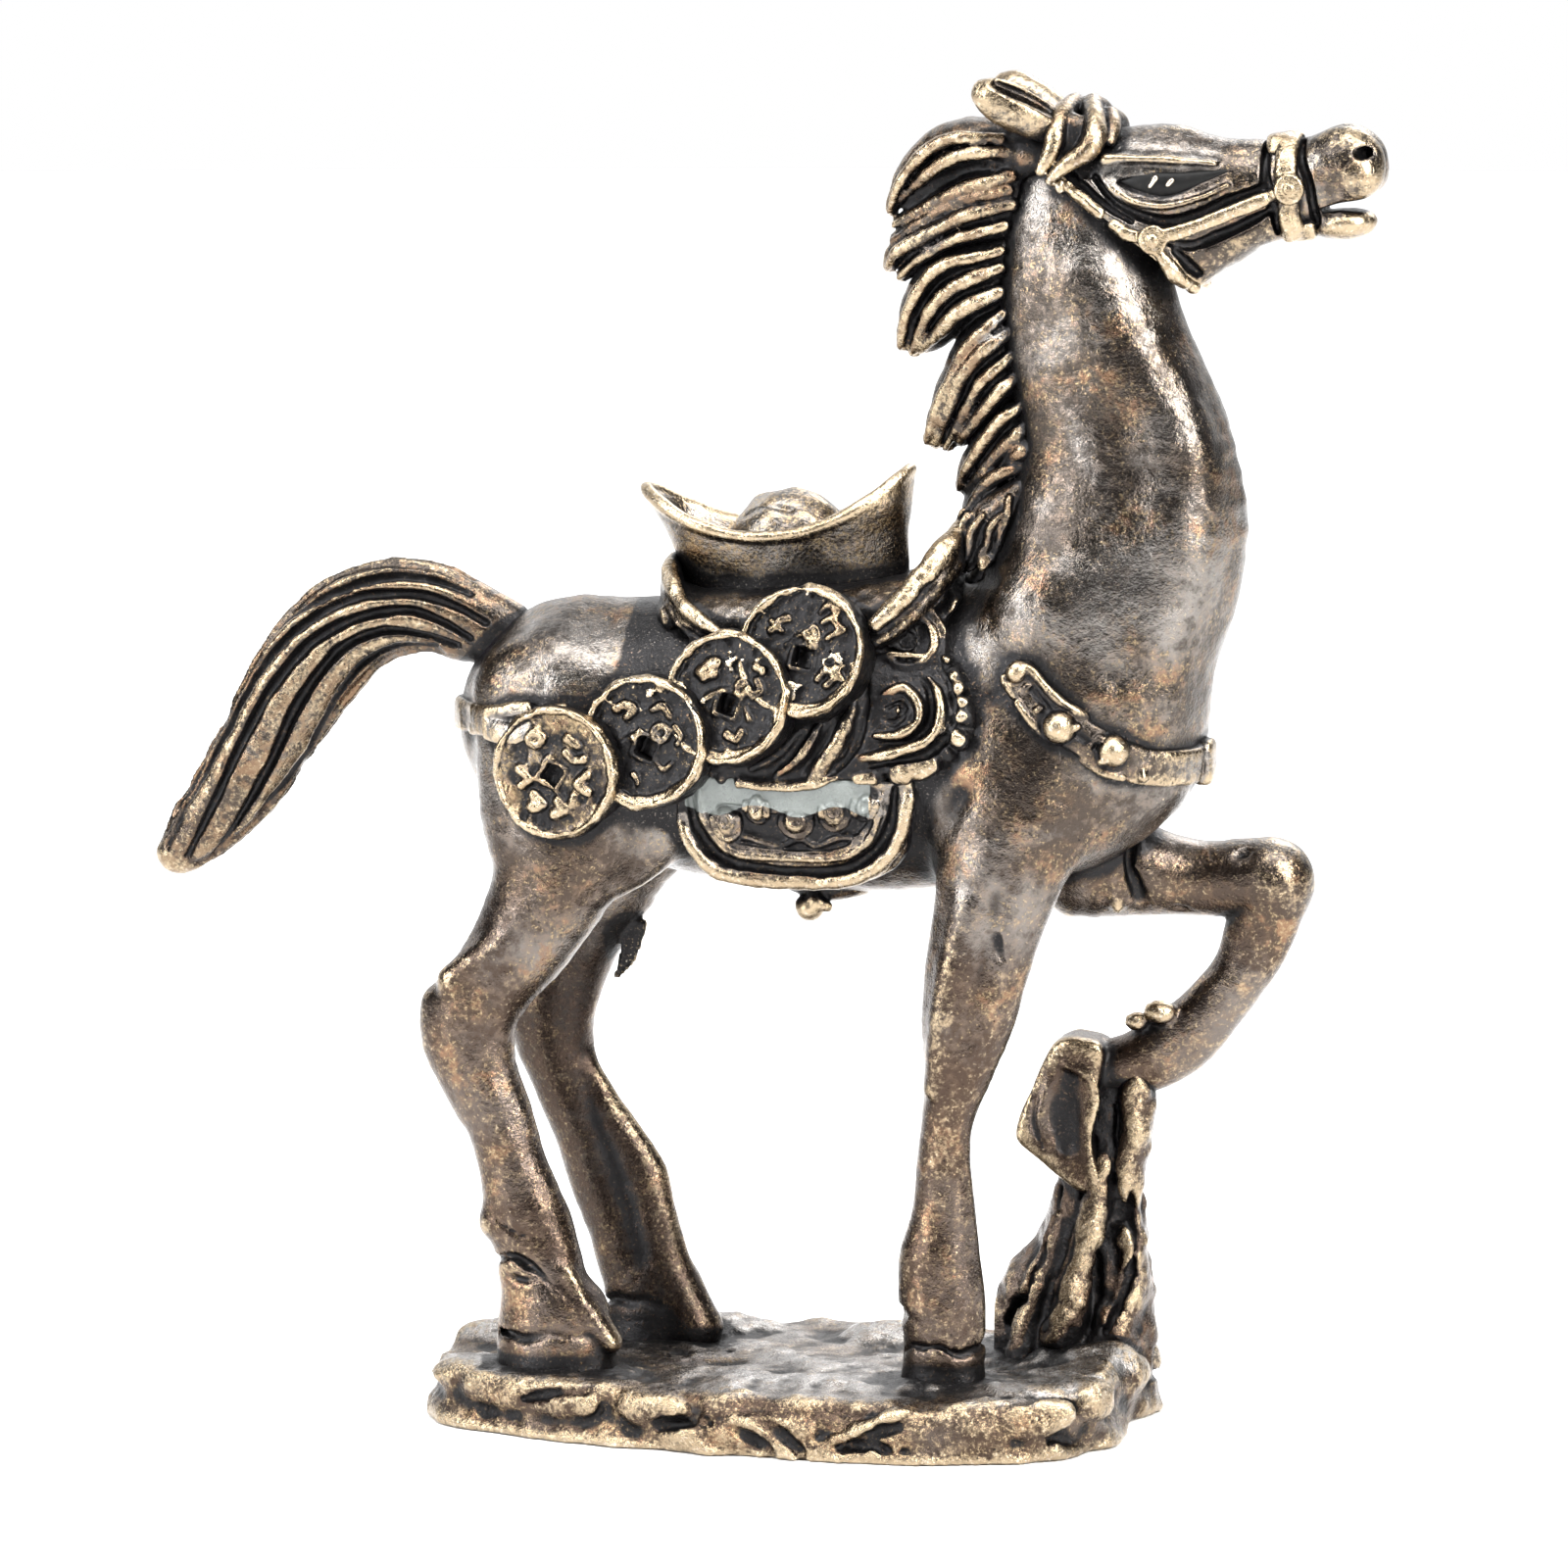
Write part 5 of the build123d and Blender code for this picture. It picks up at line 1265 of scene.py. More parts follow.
def rock():
    """Slab of folded rock with a crumpled top."""
    (x, y, _), (half_x, half_y, _) = place("rock_base")
    reach_x, reach_y = half_x + 0.6, half_y + 0.6
    clay = Clay((x - reach_x, y - reach_y, -0.5), (x + reach_x, y + reach_y, 4.6), STEP_ROCK)
    top = 2.2
    px, py, pz = np.ix_(*clay.axes)
    sides = fence(ROCK_OUTLINE)(px[:, :, 0], py[:, :, 0])[:, :, None].astype(np.float32)
    # oblique folds down the side wall
    fold = pz + 0.42 * px + 0.35 * py + 0.9 * np.sin(0.5 * px + 0.3)
    pleat = 0.2 * np.abs(np.sin(1.15 * fold)) + 0.1 * np.sin(2.9 * fold + 0.6)
    flare = 0.55 * np.clip(pz / top, 0, 1.2) ** 2 - 0.15
    lift = top + 0.06 * np.sin(0.55 * px + 0.4) + 0.05 * np.sin(1.3 * px + 0.8 * py)
    lift = lift + 0.06 * np.sin(2.1 * px) * np.cos(1.7 * py)
    lift = lift + 0.5 * ease(9.5, 13.5, px) - 0.2 * ease(-6, -12, px)
    clay.field[:] = soft_max(sides + pleat + flare, pz - lift, 0.35)
    for centre, radii, way in lines("""
        12.6 .6 2, 1.7 1.4 1.1, 1 .3 0; 13 3.6 2, 1.3 1.5 1.1, 1 0 0;
        10.9 1.2 2.1, 1.3 1.1 .7, 1 .5 0; -10.4 2.2 1.9, 1.9 1.6 .9, 1 -.3 0;
        -3 5 2, 2.4 1.5 .8, 1 0 0; 4.2 4.4 2, 2.4 1.5 .7, 1 .2 0; 2.4 -5 1.95, 2.6 1.2 .5, 1 .1 0;
        -10.6 -3 1.8, 1.5 1.4 .6, 1 .4 0; 10.4 -4.9 2, 1.7 1.2 .6, 1 -.2 0"""):
        clay.add(blob(centre, radii, way), 0.5)
    clay.add(blob((-7.1, -3.3, 2.0), (3.0, 2.2, 0.5)), 0.3)
    clay.add(blob((7.4, -3.3, 2.0), (2.2, 2.0, 0.45)), 0.3)
    clay.cut(blob((-1.4, -1.2, 2.5), (1.3, 0.9, 0.6)), 0.3)
    for line in lines("""
        -11.4 -4.6 1.9 .16, -9 -6 1.2 .3, -6 -7 .9 .26, -2.5 -7.6 .4 .14;
        -4.5 -7.1 1.9 .16, -.5 -7.8 1.3 .3, 4 -8.1 .8 .26, 7 -8 .5 .14;
        3 -8 2 .16, 7 -8 1.5 .3, 10.6 -7.1 1 .26, 13 -5 .6 .14;
        8.5 -7.3 2.4 .16, 11.6 -6.2 2 .3, 13.4 -4 1.5 .26, 13.7 -1.8 1.2 .14;
        13.8 0 2 .16, 14.1 2.4 1.5 .3, 13.9 4.8 1.2 .26, 12 6.6 .9 .14;
        -12.4 -1 1.5 .16, -12.5 2 1.1 .3, -11.6 5.2 .9 .26;
        10 7.5 1.6 .16, 5 7.9 1.2 .3, 0 7.7 1.5 .26, -5 7.6 1 .14, -9.5 6.8 1.3 .2"""):
        clay.cut(rod(line), 0.18)
    # smooth lobes along the front, an arch with a pocket, a diagonal ridge, and slits between them
    def front(x):
        return float(np.interp(x, [-11.4, -6.0, 0.0, 6.0, 11.2, 13.6], [-4.2, -6.6, -7.8, -8.1, -6.8, -3.6]))

    for x, z, deep, broad, tall, *way in table(ROCK_LOBES):
        clay.add(blob((x, front(x) + 0.3, z), (deep, broad, tall), way, power=2.6), 0.2)
    ridge = table("3.2 .3 .2, 4.6 .95 .3, 6.1 1.65 .3, 7.4 2.05 .2")
    clay.add(rod([(x, front(x) + 0.12, z, half) for x, z, half in ridge], pieces=3), 0.12)
    for line in lines("""
        -8.2 1.35 .12, -6.8 1.7 .26, -4.8 2.15 .22, -3.9 2.3 .12; -4.4 1.7 .12, -3.9 1 .26, -3.2 .5 .22;
        -2.9 .95 .12, -1.9 1.1 .26, -.7 1.35 .22; -1.2 1.4 .12, -.6 1.2 .26, .3 1.7 .22;
        1.2 1.55 .12, 2.4 .9 .26, 3 .35 .22; .2 1.2 .12, 1.2 .7 .26, 1.8 .25 .22;
        4.6 .5 .12, 5.6 1.05 .26, 6.6 1.4 .22; 8.5 2.2 .12, 10.5 2.35 .26, 12.3 2.5 .22"""):
        clay.cut(rod([(x, front(x) - 0.12, z, half) for x, z, half in line], pieces=3), 0.1)
    clay.cut(blob((-1.9, front(-1.9) - 0.1, 0.95), (1.0, 0.5, 0.26), (1, 0, 0.12)), 0.12)
    clay.wobble("1.5 .14 121, .6 .07 122, .38 .07 123")
    clay.keep(lambda x, y, z: 0 * x + 0 * y - z)
    return clay


# ---------------------------------------------------------------- make every piece
def each_side(*names):
    """Names of the CAD nodes on both sides of the horse."""
    return [f"{name}_{side}" for name in names for side in ("right", "left")]


def over_ground(points):
    """How far points stand above the saddle's sunk ground."""
    return np.where(points[:, 2] < 29.6, body.sample(points) - SADDLE_LIFT + 0.02, 0.3)


body = horse_body()
head = horse_head(body)
body.keep(lambda x, y, z: np.where(
    z > 40, np.float32(1) * (bridle_side(x, z) - 0.9), np.float32(-FAR)
) + 0 * y)
legs = each_side("foreleg", "hindleg", "hoof_front", "hoof_rear")
piece("horse_body", body, ["trunk", "neck", *legs], "body_bronze")
piece("horse_head", head, ["head", *each_side("ear")], "body_bronze")
eye, glint = eyes()
pair("eyeball", eye, ["eye"], "eye_black")
pair("eye_glint", glint, [], "eye_black")
for node, strands in MANE_LOCKS.items():
    piece(f"{node}_locks", mane(node, strands), [node], "hair_bronze")
piece("tail_locks", tail(), ["tail"], "hair_bronze")
piece("forelock_locks", forelock(head), ["forelock", "ear_drops"], "hair_bronze")
piece("collar", breast_collar(body), ["breast_collar", "collar_studs"], "tack_brass")
piece("crupper_strap", crupper(body), ["crupper"], "tack_brass")
sides = each_side("saddle_skirt", "saddle_fender", "shoulder_coin")
arches = ["saddle_seat", "saddle_cantle", "saddle_pommel"]
piece("saddle", saddle(body), arches + sides, "saddle_bronze", over_ground)
cloth, above_cloth = saddlecloth()
pair("cloth", cloth, ["saddlecloth", "saddlecloth_hem", "lotus_relief"], "saddle_bronze", above_cloth)
piece("girth_knot_lump", girth_knot(), ["girth_knot"], "body_bronze")
for name in COINS:
    disc, above_field = coin(name)
    pair(f"{name}_disc", disc, [name], "coin_brass", above_field)
boat, dome = ingot()
piece("ingot_hull", boat, ["ingot_boat"], "ingot_brass")
piece("ingot_crown", dome, ["ingot_dome"], "ingot_brass")
straps = each_side("cheekpiece", "crownpiece", "throat_strap")
piece("bridle_straps", bridle(head), ["noseband", "bridle_rosettes", *straps], "tack_brass")
piece("stump_roots", stump(), ["rock_stump"], "base_bronze")
piece("rock_slab", rock(), ["rock_base"], "base_bronze")


# ---------------------------------------------------------------- what shelters what
def whole_statue():
    """How full of metal the space near each point is, at three scales, over the whole statue."""
    low = np.min([[axis[0] for axis in clay.axes] for _, clay, *_ in pieces], axis=0) - 1
    high = np.max([[axis[-1] for axis in clay.axes] for _, clay, *_ in pieces], axis=0) + 1
    whole = Clay(low, high, STEP_SHELTER)
    for _, clay, *_ in pieces:
        spot, values = clay.resampled(whole.axes)
        whole.field[spot] = np.minimum(whole.field[spot], values)
    filled = np.clip(0.5 - whole.field / (2 * STEP_SHELTER), 0, 1)
    return whole, blurred(filled, 1), blurred(filled, 2), blurred(filled, 5)


def neighbours(values, first, second):
    """Sum of the values at the other ends of each vertex's edges."""
    return np.bincount(first, values[second], len(values)) + np.bincount(second, values[first], len(values))


def meaned(values, first, second, count, rounds):
    """Values spread along the mesh's edges, that many times."""
    for _ in range(rounds):
        values = (values + neighbours(values, first, second)) / (1 + count)
    return values


def wear(points, normals, quads, whole, near, middle, far):
    """How recessed and how proud each vertex is, from 0 to 1."""
    ends = np.vstack([quads[:, [i, (i + 1) % 4]] for i in range(4)])
    first, second = np.unique(np.sort(ends, axis=1), axis=0).T
    count = np.bincount(first, minlength=len(points)) + np.bincount(second, minlength=len(points))
    mean = np.column_stack([neighbours(axis, first, second) / count for axis in points.T])
    size = np.linalg.norm(points[first] - points[second], axis=1).mean()
    bend = ((points - mean) * normals).sum(1) / size**2              # positive where the skin is proud
    fine = meaned(bend, first, second, count, max(2, int((0.1 / size) ** 2 * 6)))
    broad = meaned(fine, first, second, count, max(4, int((0.22 / size) ** 2 * 6)))
    close = whole.sample(points + normals * 0.22, near) - 0.22       # each less its value over flat metal
    mid = whole.sample(points + normals * 0.3, middle) - 0.27
    wide = whole.sample(points + normals * 0.5, far) - 0.33
    patina_and_shade = 1.7 * close + 1.9 * np.maximum(mid, -0.1) + 1.2 * np.maximum(wide, -0.08)
    patina_and_shade = patina_and_shade - 0.12 * fine - 0.1 * broad
    proud = 0.5 * broad + 0.15 * fine - 0.9 * np.maximum(mid, -0.12) - 0.8 * np.maximum(wide, -0.1) - 0.06
    return np.clip(patina_and_shade, 0, 1), np.clip(proud, 0, 1)


def band_on_cloth(points):
    """The pale plain band along the top of the saddlecloth, and its strip down the rear edge."""
    x, _, z = points.T
    foot = 23.2 + 0.22 * np.cos((x - 0.65) * 2.1)
    top = ease(0, 0.12, z - foot) * ease(0, 0.12, x + 1.5) * ease(0, 0.12, 4.9 - x)
    side = ease(0, 0.12, z - 22.6 + 0.3 * x) * ease(0, 0.15, x + 2.15) * ease(0, 0.15, -1.25 - x)
    return np.maximum(top, side) * ease(0, 0.2, 24.6 - z)


# ---------------------------------------------------------------- finishes
class Nodes:
    """Builds a node material a line at a time."""

    def __init__(self, name):
        self.material = bpy.data.materials.new(name)
        self.material.use_nodes = True
        self.tree = self.material.node_tree
        self.shader = self.tree.nodes["Principled BSDF"]
        where = self.tree.nodes.new("ShaderNodeTexCoord")
        scale = self.tree.nodes.new("ShaderNodeVectorMath")
        scale.operation = "SCALE"
        scale.inputs["Scale"].default_value = 1 / MM
        self.tree.links.new(where.outputs["Object"], scale.inputs[0])
        self.spot = self.place = scale.outputs["Vector"]      # place in millimetres

    def put(self, socket, value):
        if isinstance(value, bpy.types.NodeSocket):
            self.tree.links.new(value, socket)
        elif isinstance(value, tuple) and len(value) == 3 and socket.type == "RGBA":
            socket.default_value = (*value, 1)
        else:
            socket.default_value = value

    def height(self):
        """Height over the foot of the rock."""
        parts = self.tree.nodes.new("ShaderNodeSeparateXYZ")
        self.put(parts.inputs[0], self.place)
        return parts.outputs["Z"]

    def noise(self, per_mm, detail=3.0, rough=0.55, twist=0.0):
        node = self.tree.nodes.new("ShaderNodeTexNoise")
        self.put(node.inputs["Vector"], self.spot)
        self.put(node.inputs["Scale"], per_mm)
        self.put(node.inputs["Detail"], detail)
        self.put(node.inputs["Roughness"], rough)
        self.put(node.inputs["Distortion"], twist)
        return node.outputs["Fac"]

    def spots(self, per_mm):
        node = self.tree.nodes.new("ShaderNodeTexVoronoi")
        self.put(node.inputs["Vector"], self.spot)
        self.put(node.inputs["Scale"], per_mm)
        return node.outputs["Distance"]

    def worn(self, name):
        """One of the values kept at the vertices."""
        node = self.tree.nodes.new("ShaderNodeAttribute")
        node.attribute_name = name
        return node.outputs["Fac"]

    def plus(self, value, factor, more):
        return self.sum("MULTIPLY_ADD", value, factor, more)

    def sum(self, operation, *values):
        node = self.tree.nodes.new("ShaderNodeMath")
        node.operation = operation
        for socket, value in zip(node.inputs, values):
            self.put(socket, value)
        return node.outputs[0]

    def span(self, value, low, high, start=0.0, stop=1.0):
        """Smooth step from start to stop while value goes from low to high."""
        node = self.tree.nodes.new("ShaderNodeMapRange")
        node.interpolation_type = "SMOOTHSTEP"
        for socket, number in zip(node.inputs, (value, low, high, start, stop)):
            self.put(socket, number)
        return node.outputs[0]

    def mix(self, amount, a, b):
        node = self.tree.nodes.new("ShaderNodeMix")
        node.data_type = "RGBA"
        self.put(node.inputs["Factor"], amount)
        self.put(node.inputs[6], a)
        self.put(node.inputs[7], b)
        return node.outputs[2]

    def bump(self, height, strength, distance, below=None):
        node = self.tree.nodes.new("ShaderNodeBump")
        self.put(node.inputs["Strength"], strength)
        self.put(node.inputs["Distance"], distance * MM)
        self.put(node.inputs["Height"], height)
        if below is not None:
            self.put(node.inputs["Normal"], below)
        return node.outputs["Normal"]


BLACK_PATINA = (0.0085, 0.008, 0.0085)
UMBER = (0.048, 0.040, 0.034)
GUNMETAL = (0.185, 0.172, 0.160)
LEG_BROWN = (0.050, 0.032, 0.023)
COPPER = (0.205, 0.106, 0.06)
OLD_GOLD = (0.27, 0.200, 0.115)
BRASS = (0.345, 0.27, 0.175)
TARNISH = (0.115, 0.075, 0.048)
PALE_BRASS = (0.58, 0.53, 0.46)
# silver of the painted sheen of top light on the top of the rock
PAINTED_SHEEN_SILVER = (0.31, 0.30, 0.29)
BAND_GREY = (0.085, 0.094, 0.089)
BAND_PALE = (0.17, 0.184, 0.175)
EYE_BLACK = (0.003, 0.003, 0.003)
EYE_SMUDGE = (0.012, 0.011, 0.01)


def antique(
    name, gold=0.5, copper=0.3, grey=0.5, black=1.0, shine=0.2, grain=0.7, calm=0.0, painted_sheen_above=None, tarnish=0.3,
    seed=0.0,
):
    """Cast metal with black patina in its recesses, rubbed bright where it stands proud.

    gold, copper and grey say how much of each colour shows, black how far the patina (with the painted shade
    on the body) spreads, and tarnish how much it dulls the gold. shine is the least roughness and grain the
    depth of the fine bumps. calm keeps gentle swells from being rubbed bright, and metal higher than
    painted_sheen_above, in millimetres, gets a painted silvery sheen of top light.
    """
    n = Nodes(name)
    if seed:
        shift = n.tree.nodes.new("ShaderNodeVectorMath")
        n.put(shift.inputs[0], n.spot)
        n.put(shift.inputs[1], (seed, seed * 1.7, -seed))
        n.place, n.spot = n.spot, shift.outputs["Vector"]

    def coat(metal, where, low, high, most, colour):
        """Metal with a colour over it where a value goes from low to high."""
        return n.mix(n.span(where, low, high, 0.0, most), metal, colour)

    # the first value is the black patina of the recesses, with painted shade added to it on the body
    patina_and_shade, proud = n.worn("patina_and_shade"), n.worn("proud")
    cloud, drift = n.noise(0.22, 3, 0.55, 0.3), n.noise(0.5, 4, 0.6)
    mottle, fleck = n.noise(2.6, 5, 0.65), n.noise(6.5, 4, 0.75)
    metal = coat(UMBER, n.plus(mottle, 0.6, cloud), 0.88 - 0.3 * grey, 1.16 - 0.3 * grey, 1.0, GUNMETAL)
    metal = coat(metal, n.plus(cloud, 10.0, n.height()), 33.0, 16.0, 0.75, LEG_BROWN)
    metal = coat(metal, n.plus(mottle, 0.6, drift), 0.95 - 0.2 * copper, 1.1 - 0.2 * copper, 0.7, COPPER)
    metal = coat(metal, n.plus(drift, 0.5, fleck), 0.92 - 0.3 * gold, 1.1 - 0.3 * gold, 0.85, OLD_GOLD)
    # painted sheen of top light: metal above that height turns silvery
    if painted_sheen_above:
        metal = coat(metal, n.plus(mottle, 0.3, n.height()), painted_sheen_above, painted_sheen_above + 0.4, 0.85, PAINTED_SHEEN_SILVER)
    edge = n.sum("SUBTRACT", proud, calm)
    uneven = n.plus(fleck, 2.0, n.plus(mottle, 2.0, -2.1))
    metal = coat(metal, n.plus(edge, 1.5 + gold + 5 * calm, uneven), 0.1, 0.8, 0.9, BRASS)
    metal = coat(metal, n.plus(drift, 0.4, mottle), 0.66, 0.78, tarnish, TARNISH)
    metal = coat(metal, n.plus(fleck, 2.5, n.sum("MULTIPLY", edge, 0.6)), 1.6, 2.1, 0.7, PALE_BRASS)

    glitter = n.span(n.noise(8.0, 2, 0.8), 0.58, 0.68)
    dark = n.plus(patina_and_shade, black, n.plus(mottle, 0.5, -0.27))
    dark = n.span(n.sum("SUBTRACT", dark, n.sum("MULTIPLY", proud, 0.4)), 0.06, 0.4)
    pits = n.span(n.plus(fleck, 0.1, n.spots(1.5)), 0.09, 0.125, 1.0, 0.0)
    dark = n.sum("MAXIMUM", dark, n.sum("MULTIPLY", pits, 0.8))
    dark = n.sum("MULTIPLY", dark, n.plus(glitter, -0.55, 1.0))
    n.put(n.shader.inputs["Base Color"], n.mix(dark, metal, BLACK_PATINA))
    n.put(n.shader.inputs["Metallic"], n.span(dark, 0.4, 1.0, 1.0, 0.78))
    smooth = n.span(fleck, 0.3, 0.7, shine - 0.06, shine + 0.1)
    n.put(n.shader.inputs["Roughness"], n.plus(dark, 0.15, smooth))
    below = n.bump(n.sum("SUBTRACT", mottle, n.sum("MULTIPLY", pits, 0.4)), 0.6 * grain, 0.1)
    n.put(n.shader.inputs["Normal"], n.bump(n.noise(8.0, 3, 0.65), 0.8 * grain, 0.05, below))
    return n


def black_eye():
    n = Nodes("eye_black")
    smudge = n.noise(4.0, 3)
    n.put(n.shader.inputs["Base Color"], n.mix(n.span(smudge, 0.5, 0.75, 0.0, 0.5), EYE_BLACK, EYE_SMUDGE))
    n.put(n.shader.inputs["Roughness"], n.span(smudge, 0.3, 0.7, 0.4, 0.55))
    n.shader.inputs["Specular IOR Level"].default_value = 0.15
    n.put(n.shader.inputs["Normal"], n.bump(n.noise(5.0, 2), 0.15, 0.05))
    return n


def pale_glint():
    n = Nodes("eye_glint")
    n.put(n.shader.inputs["Base Color"], n.mix(n.noise(6.0, 3), BRASS, PALE_BRASS))
    n.shader.inputs["Metallic"].default_value = 1.0
    n.put(n.shader.inputs["Roughness"], n.span(n.noise(9.0, 2), 0.3, 0.7, 0.16, 0.3))
    return n


def cloth_finish():
    """Saddle finish with the pale band of the cloth."""
    n = antique("cloth_bronze", gold=0.55, copper=0.4, grey=0.4, black=1.3, seed=9.1)
    colour, metallic = n.shader.inputs["Base Color"], n.shader.inputs["Metallic"]
    painted, metal = colour.links[0].from_socket, metallic.links[0].from_socket
    band = n.span(n.worn("band"), 0.35, 0.65)
    n.put(colour, n.mix(band, painted, n.mix(n.noise(1.2, 4), BAND_GREY, BAND_PALE)))
    n.put(metallic, n.sum("MULTIPLY", metal, n.span(band, 0.0, 1.0, 1.0, 0.25)))
    return n


ANTIQUES = {
    "body_bronze": dict(gold=0.45, copper=0.4, grey=0.6, shine=0.18, grain=0.65, calm=0.12),
    "hair_bronze": dict(gold=0.45, copper=0.5, grey=0.2, black=1.5, calm=0.15, tarnish=0.75, seed=3.1),
    "saddle_bronze": dict(copper=0.4, grey=0.4, black=1.3, seed=7.7),
    "tack_brass": dict(copper=0.35, grey=0.4, black=1.3, calm=0.12, seed=11.9),
    "coin_brass": dict(gold=0.8, copper=0.5, grey=0.3, black=1.3, seed=13.3),
    "ingot_brass": dict(gold=0.7, copper=0.25, grey=0.8, black=0.65, calm=0.1, seed=17.1),
    "stump_bronze": dict(gold=0.3, grey=0.45, black=1.2, grain=1.2, calm=0.12, seed=23.9),
    # the rock's top gets the painted silvery sheen of top light from 2.15 mm up
    "base_bronze": dict(gold=0.6, copper=0.4, grey=0.4, black=1.2, grain=1.2, painted_sheen_above=2.15, seed=19.7),
}
finishes = {name: antique(name, **look) for name, look in ANTIQUES.items()}
finishes.update(eye_black=black_eye(), eye_glint=pale_glint(), cloth_bronze=cloth_finish())
# pieces whose finish is not the one named after their slot
OWN_FINISH = {
    "eye_glint_right": "eye_glint", "eye_glint_left": "eye_glint", "cloth_right": "cloth_bronze",
    "cloth_left": "cloth_bronze", "stump_roots": "stump_bronze", "crupper_strap": "body_bronze",
}


# ---------------------------------------------------------------- meshes
GROUND_PATINA = 0.46         # least recess of a sunk ground


def painted_shade_and_dark_sole(points, normals):
    """Painted shade inside the hind legs, on the spur of the far hind leg and in the gap behind the cantle,
    and darker metal on the sole of the folded hoof.
    """
    x, y, z = points.T
    # painted shade on the inner faces of the hind legs, where the other leg and the body shade them
    inner = ease(0.0, 0.6, -np.sign(y) * normals[:, 1]) * ease(20.5, 17.5, z) * ease(3.0, 1.0, x)
    # darker metal on the sole of the folded hoof
    sole = ease(0.3, 0.8, -normals[:, 1]) * ease(8.0, 8.8, x) * ease(13.4, 12.8, x)
    sole = sole * ease(6.5, 7.2, z) * ease(14.8, 14.2, z)
    # painted shade on the body in the gap behind the cantle, under the saddle
    gap = ease(-4.9, -4.4, x) * ease(5.0, 3.0, x) * ease(27.6, 28.4, z)
    # more painted shade on the inner face of the spur on the far hind leg
    spur = ease(1.6, 1.9, y) * ease(2.9, 2.7, y) * ease(-6.6, -6.3, x)
    spur = spur * ease(15.4, 15.6, z) * ease(18.4, 18.2, z)
    return 0.3 * inner + 0.2 * sole + 0.5 * gap + 0.6 * inner * spur


def mesh_from(name, points, quads, normals):
    mesh = bpy.data.meshes.new(name)
    mesh.vertices.add(len(points))
    mesh.vertices.foreach_set("co", (points * MM).astype(np.float32).ravel())
    mesh.loops.add(quads.size)
    mesh.loops.foreach_set("vertex_index", quads.astype(np.int32).ravel())
    mesh.polygons.add(len(quads))
    mesh.polygons.foreach_set("loop_start", np.arange(0, quads.size, 4, dtype=np.int32))
    mesh.polygons.foreach_set("use_smooth", np.ones(len(quads), bool))
    mesh.update(calc_edges=True)
    mesh.normals_split_custom_set_from_vertices(normals.astype(np.float32))
    return mesh


def build(name, clay, nodes, slot, relief, shelter):
    """Makes the object of one piece, with the values that its finish reads."""
    points, quads = skin(clay)
    normals = clay.slope(points)
    patina_and_shade, proud = wear(points, normals, quads, *shelter)
    # on the body, painted shade and the darker sole are added to the recess patina
    if slot == "body_bronze":
        patina_and_shade = np.clip(patina_and_shade + painted_shade_and_dark_sole(points, normals), 0, 1)
    if relief:
        height = relief(points)
        patina_and_shade = np.maximum(patina_and_shade, GROUND_PATINA * ease(0.16, 0.05, height))
        proud = proud * ease(0.03, 0.14, height)
    mesh = mesh_from(name, points, quads, normals)
    values = {"patina_and_shade": patina_and_shade, "proud": proud}
    if name.startswith("cloth"):
        values["band"] = band_on_cloth(points)
    for label, value in values.items():
        mesh.attributes.new(label, "FLOAT", "POINT").data.foreach_set("value", value.astype(np.float32))
    thing = bpy.data.objects.new(name, mesh)
    bpy.context.scene.collection.objects.link(thing)
    mesh.materials.append(finishes[OWN_FINISH.get(name, slot)].material)
    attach(thing, "root")
    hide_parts(*nodes)


shelter = whole_statue()
for row in pieces:
    build(*row, shelter)


# ---------------------------------------------------------------- floor, light and camera
FLOOR_RADIUS = 0.6           # metres
FLOOR_GAP = 0.02             # millimetres under the rock
LAMP_TARGET = (0, 0, 25 * MM)
CAMERA_TARGET = (0.7 * MM, 0, 23.6 * MM)
CAMERA_PLACE = (12, 8, 360)  # azimuth and elevation in degrees, distance in millimetres
CAMERA_LENS = 225
WHITE = (1, 1, 1)
# azimuth and elevation in degrees, distance, width and height in millimetres, brightness of the face, colour
LAMPS = {
    "key": (54, 30, 330, 64, 230, 46.0, (1.0, 0.985, 0.96)),
    "fill": (-46, 22, 340, 50, 240, 40.0, (0.97, 0.985, 1.0)),
    "top": (-4, 70, 300, 240, 150, 11.0, WHITE),
    "rear": (165, 40, 360, 200, 160, 7.0, WHITE),
    "backdrop": (180, 40, 900, 1500, 1100, 1.5, WHITE),
    "rear_left": (235, 25, 380, 110, 240, 4.0, WHITE),
}
# height on the world's sphere, and its colour there
WORLD_LOW = (0.04, (1.0, 1.0, 1.0, 1))
WORLD_MIDDLE = (0.13, (0.2, 0.2, 0.205, 1))
WORLD_HIGH = (0.9, (0.05, 0.05, 0.055, 1))


def pale_floor():
    spot = (0, 0, cad_bounds[0][2] - FLOOR_GAP * MM)
    bpy.ops.mesh.primitive_circle_add(vertices=96, radius=FLOOR_RADIUS, fill_type="NGON", location=spot)
    floor = bpy.context.object
    floor.name = "floor"
    n = Nodes("floor_paper")
    n.put(n.shader.inputs["Base Color"], n.mix(n.noise(0.05, 2), (0.86, 0.86, 0.86), (0.89, 0.89, 0.89)))
    n.shader.inputs["Roughness"].default_value = 0.7
    floor.data.materials.append(n.material)


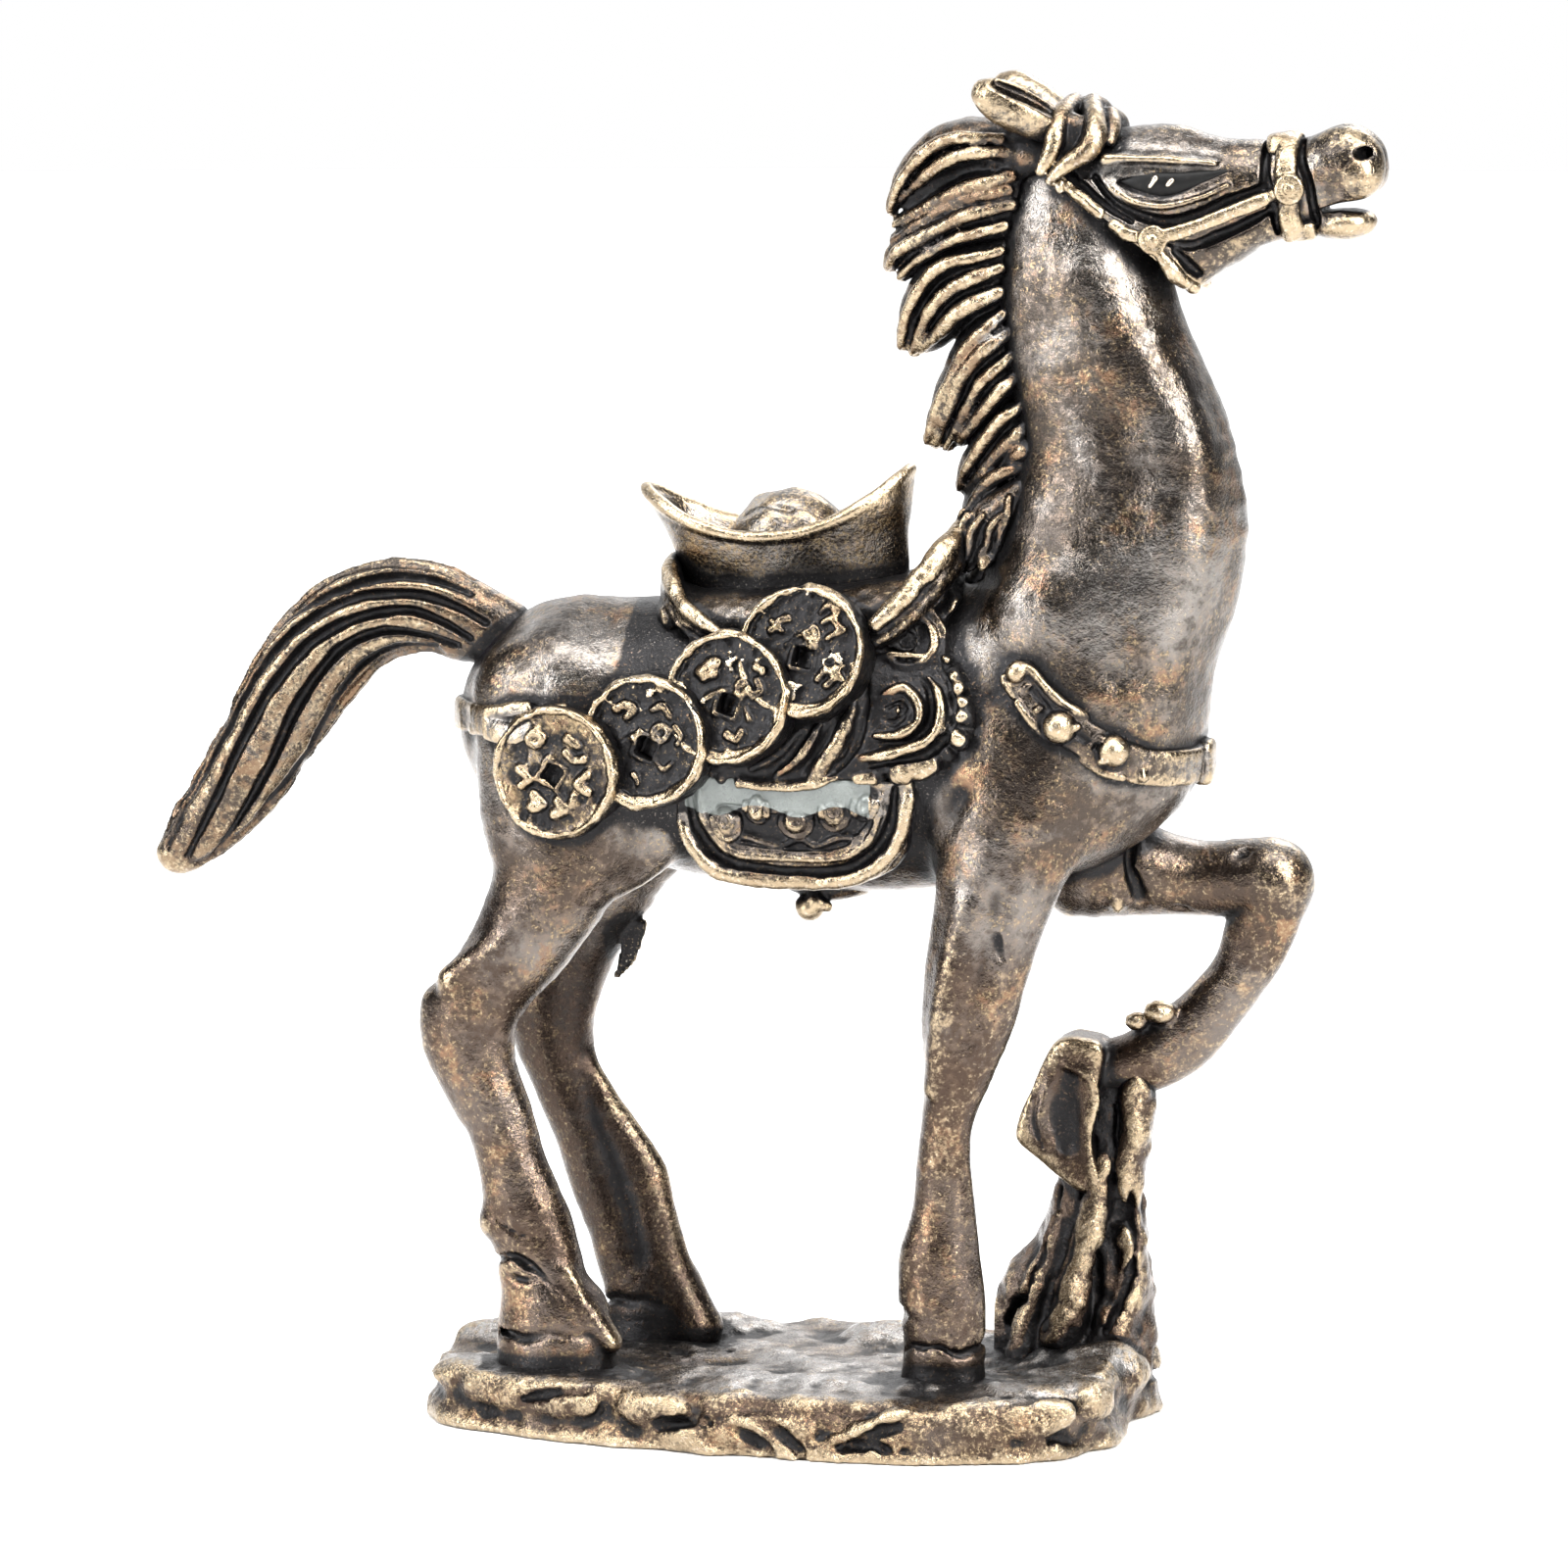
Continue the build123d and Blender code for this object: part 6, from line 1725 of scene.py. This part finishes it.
def face(name, data, target, azimuth, elevation, distance):
    """Puts a lamp or camera at a distance in millimetres from the target, facing it."""
    a, e = math.radians(azimuth), math.radians(elevation)
    way = Vector((math.sin(a) * math.cos(e), -math.cos(a) * math.cos(e), math.sin(e)))
    thing = bpy.data.objects.new(name, data)
    thing.location = Vector(target) + way * distance * MM
    thing.rotation_mode = "QUATERNION"
    thing.rotation_quaternion = (-way).to_track_quat("-Z", "Y")
    bpy.context.scene.collection.objects.link(thing)
    return thing


def lamp(name, azimuth, elevation, distance, width, height, strength, colour):
    """Soft box that faces the statue; strength is how bright its face is."""
    data = bpy.data.lights.new(name, "AREA")
    data.shape, data.size, data.size_y = "RECTANGLE", width * MM, height * MM
    data.energy = strength * math.pi * width * height * MM * MM
    data.color = colour
    face(name, data, LAMP_TARGET, azimuth, elevation, distance)


def studio():
    world = bpy.data.worlds.new("studio")
    bpy.context.scene.world = world
    world.use_nodes = True
    tree = world.node_tree
    where, parts = tree.nodes.new("ShaderNodeTexCoord"), tree.nodes.new("ShaderNodeSeparateXYZ")
    ramp = tree.nodes.new("ShaderNodeValToRGB")
    tree.links.new(where.outputs["Generated"], parts.inputs[0])
    tree.links.new(parts.outputs["Z"], ramp.inputs[0])
    tree.links.new(ramp.outputs["Color"], tree.nodes["Background"].inputs["Color"])
    tree.nodes["Background"].inputs["Strength"].default_value = 1.0
    stops = ramp.color_ramp.elements
    stops[0].position, stops[0].color = WORLD_LOW
    stops[1].position, stops[1].color = WORLD_HIGH
    stops.new(WORLD_MIDDLE[0]).color = WORLD_MIDDLE[1]
    for name, look in LAMPS.items():
        lamp(name, *look)
    sky = bpy.data.lights.new("sky", "SUN")
    sky.energy, sky.angle = 1.5, math.radians(70)
    overhead = bpy.data.objects.new("sky", sky)
    overhead.rotation_euler = (math.radians(18), math.radians(10), 0)
    bpy.context.scene.collection.objects.link(overhead)
    bpy.context.scene.view_settings.view_transform = "Standard"


def camera():
    data = bpy.data.cameras.new("camera")
    data.lens, data.sensor_width = CAMERA_LENS, 36
    data.clip_start, data.clip_end = 0.01, 20
    bpy.context.scene.camera = face("camera", data, CAMERA_TARGET, *CAMERA_PLACE)


pale_floor()
studio()
camera()
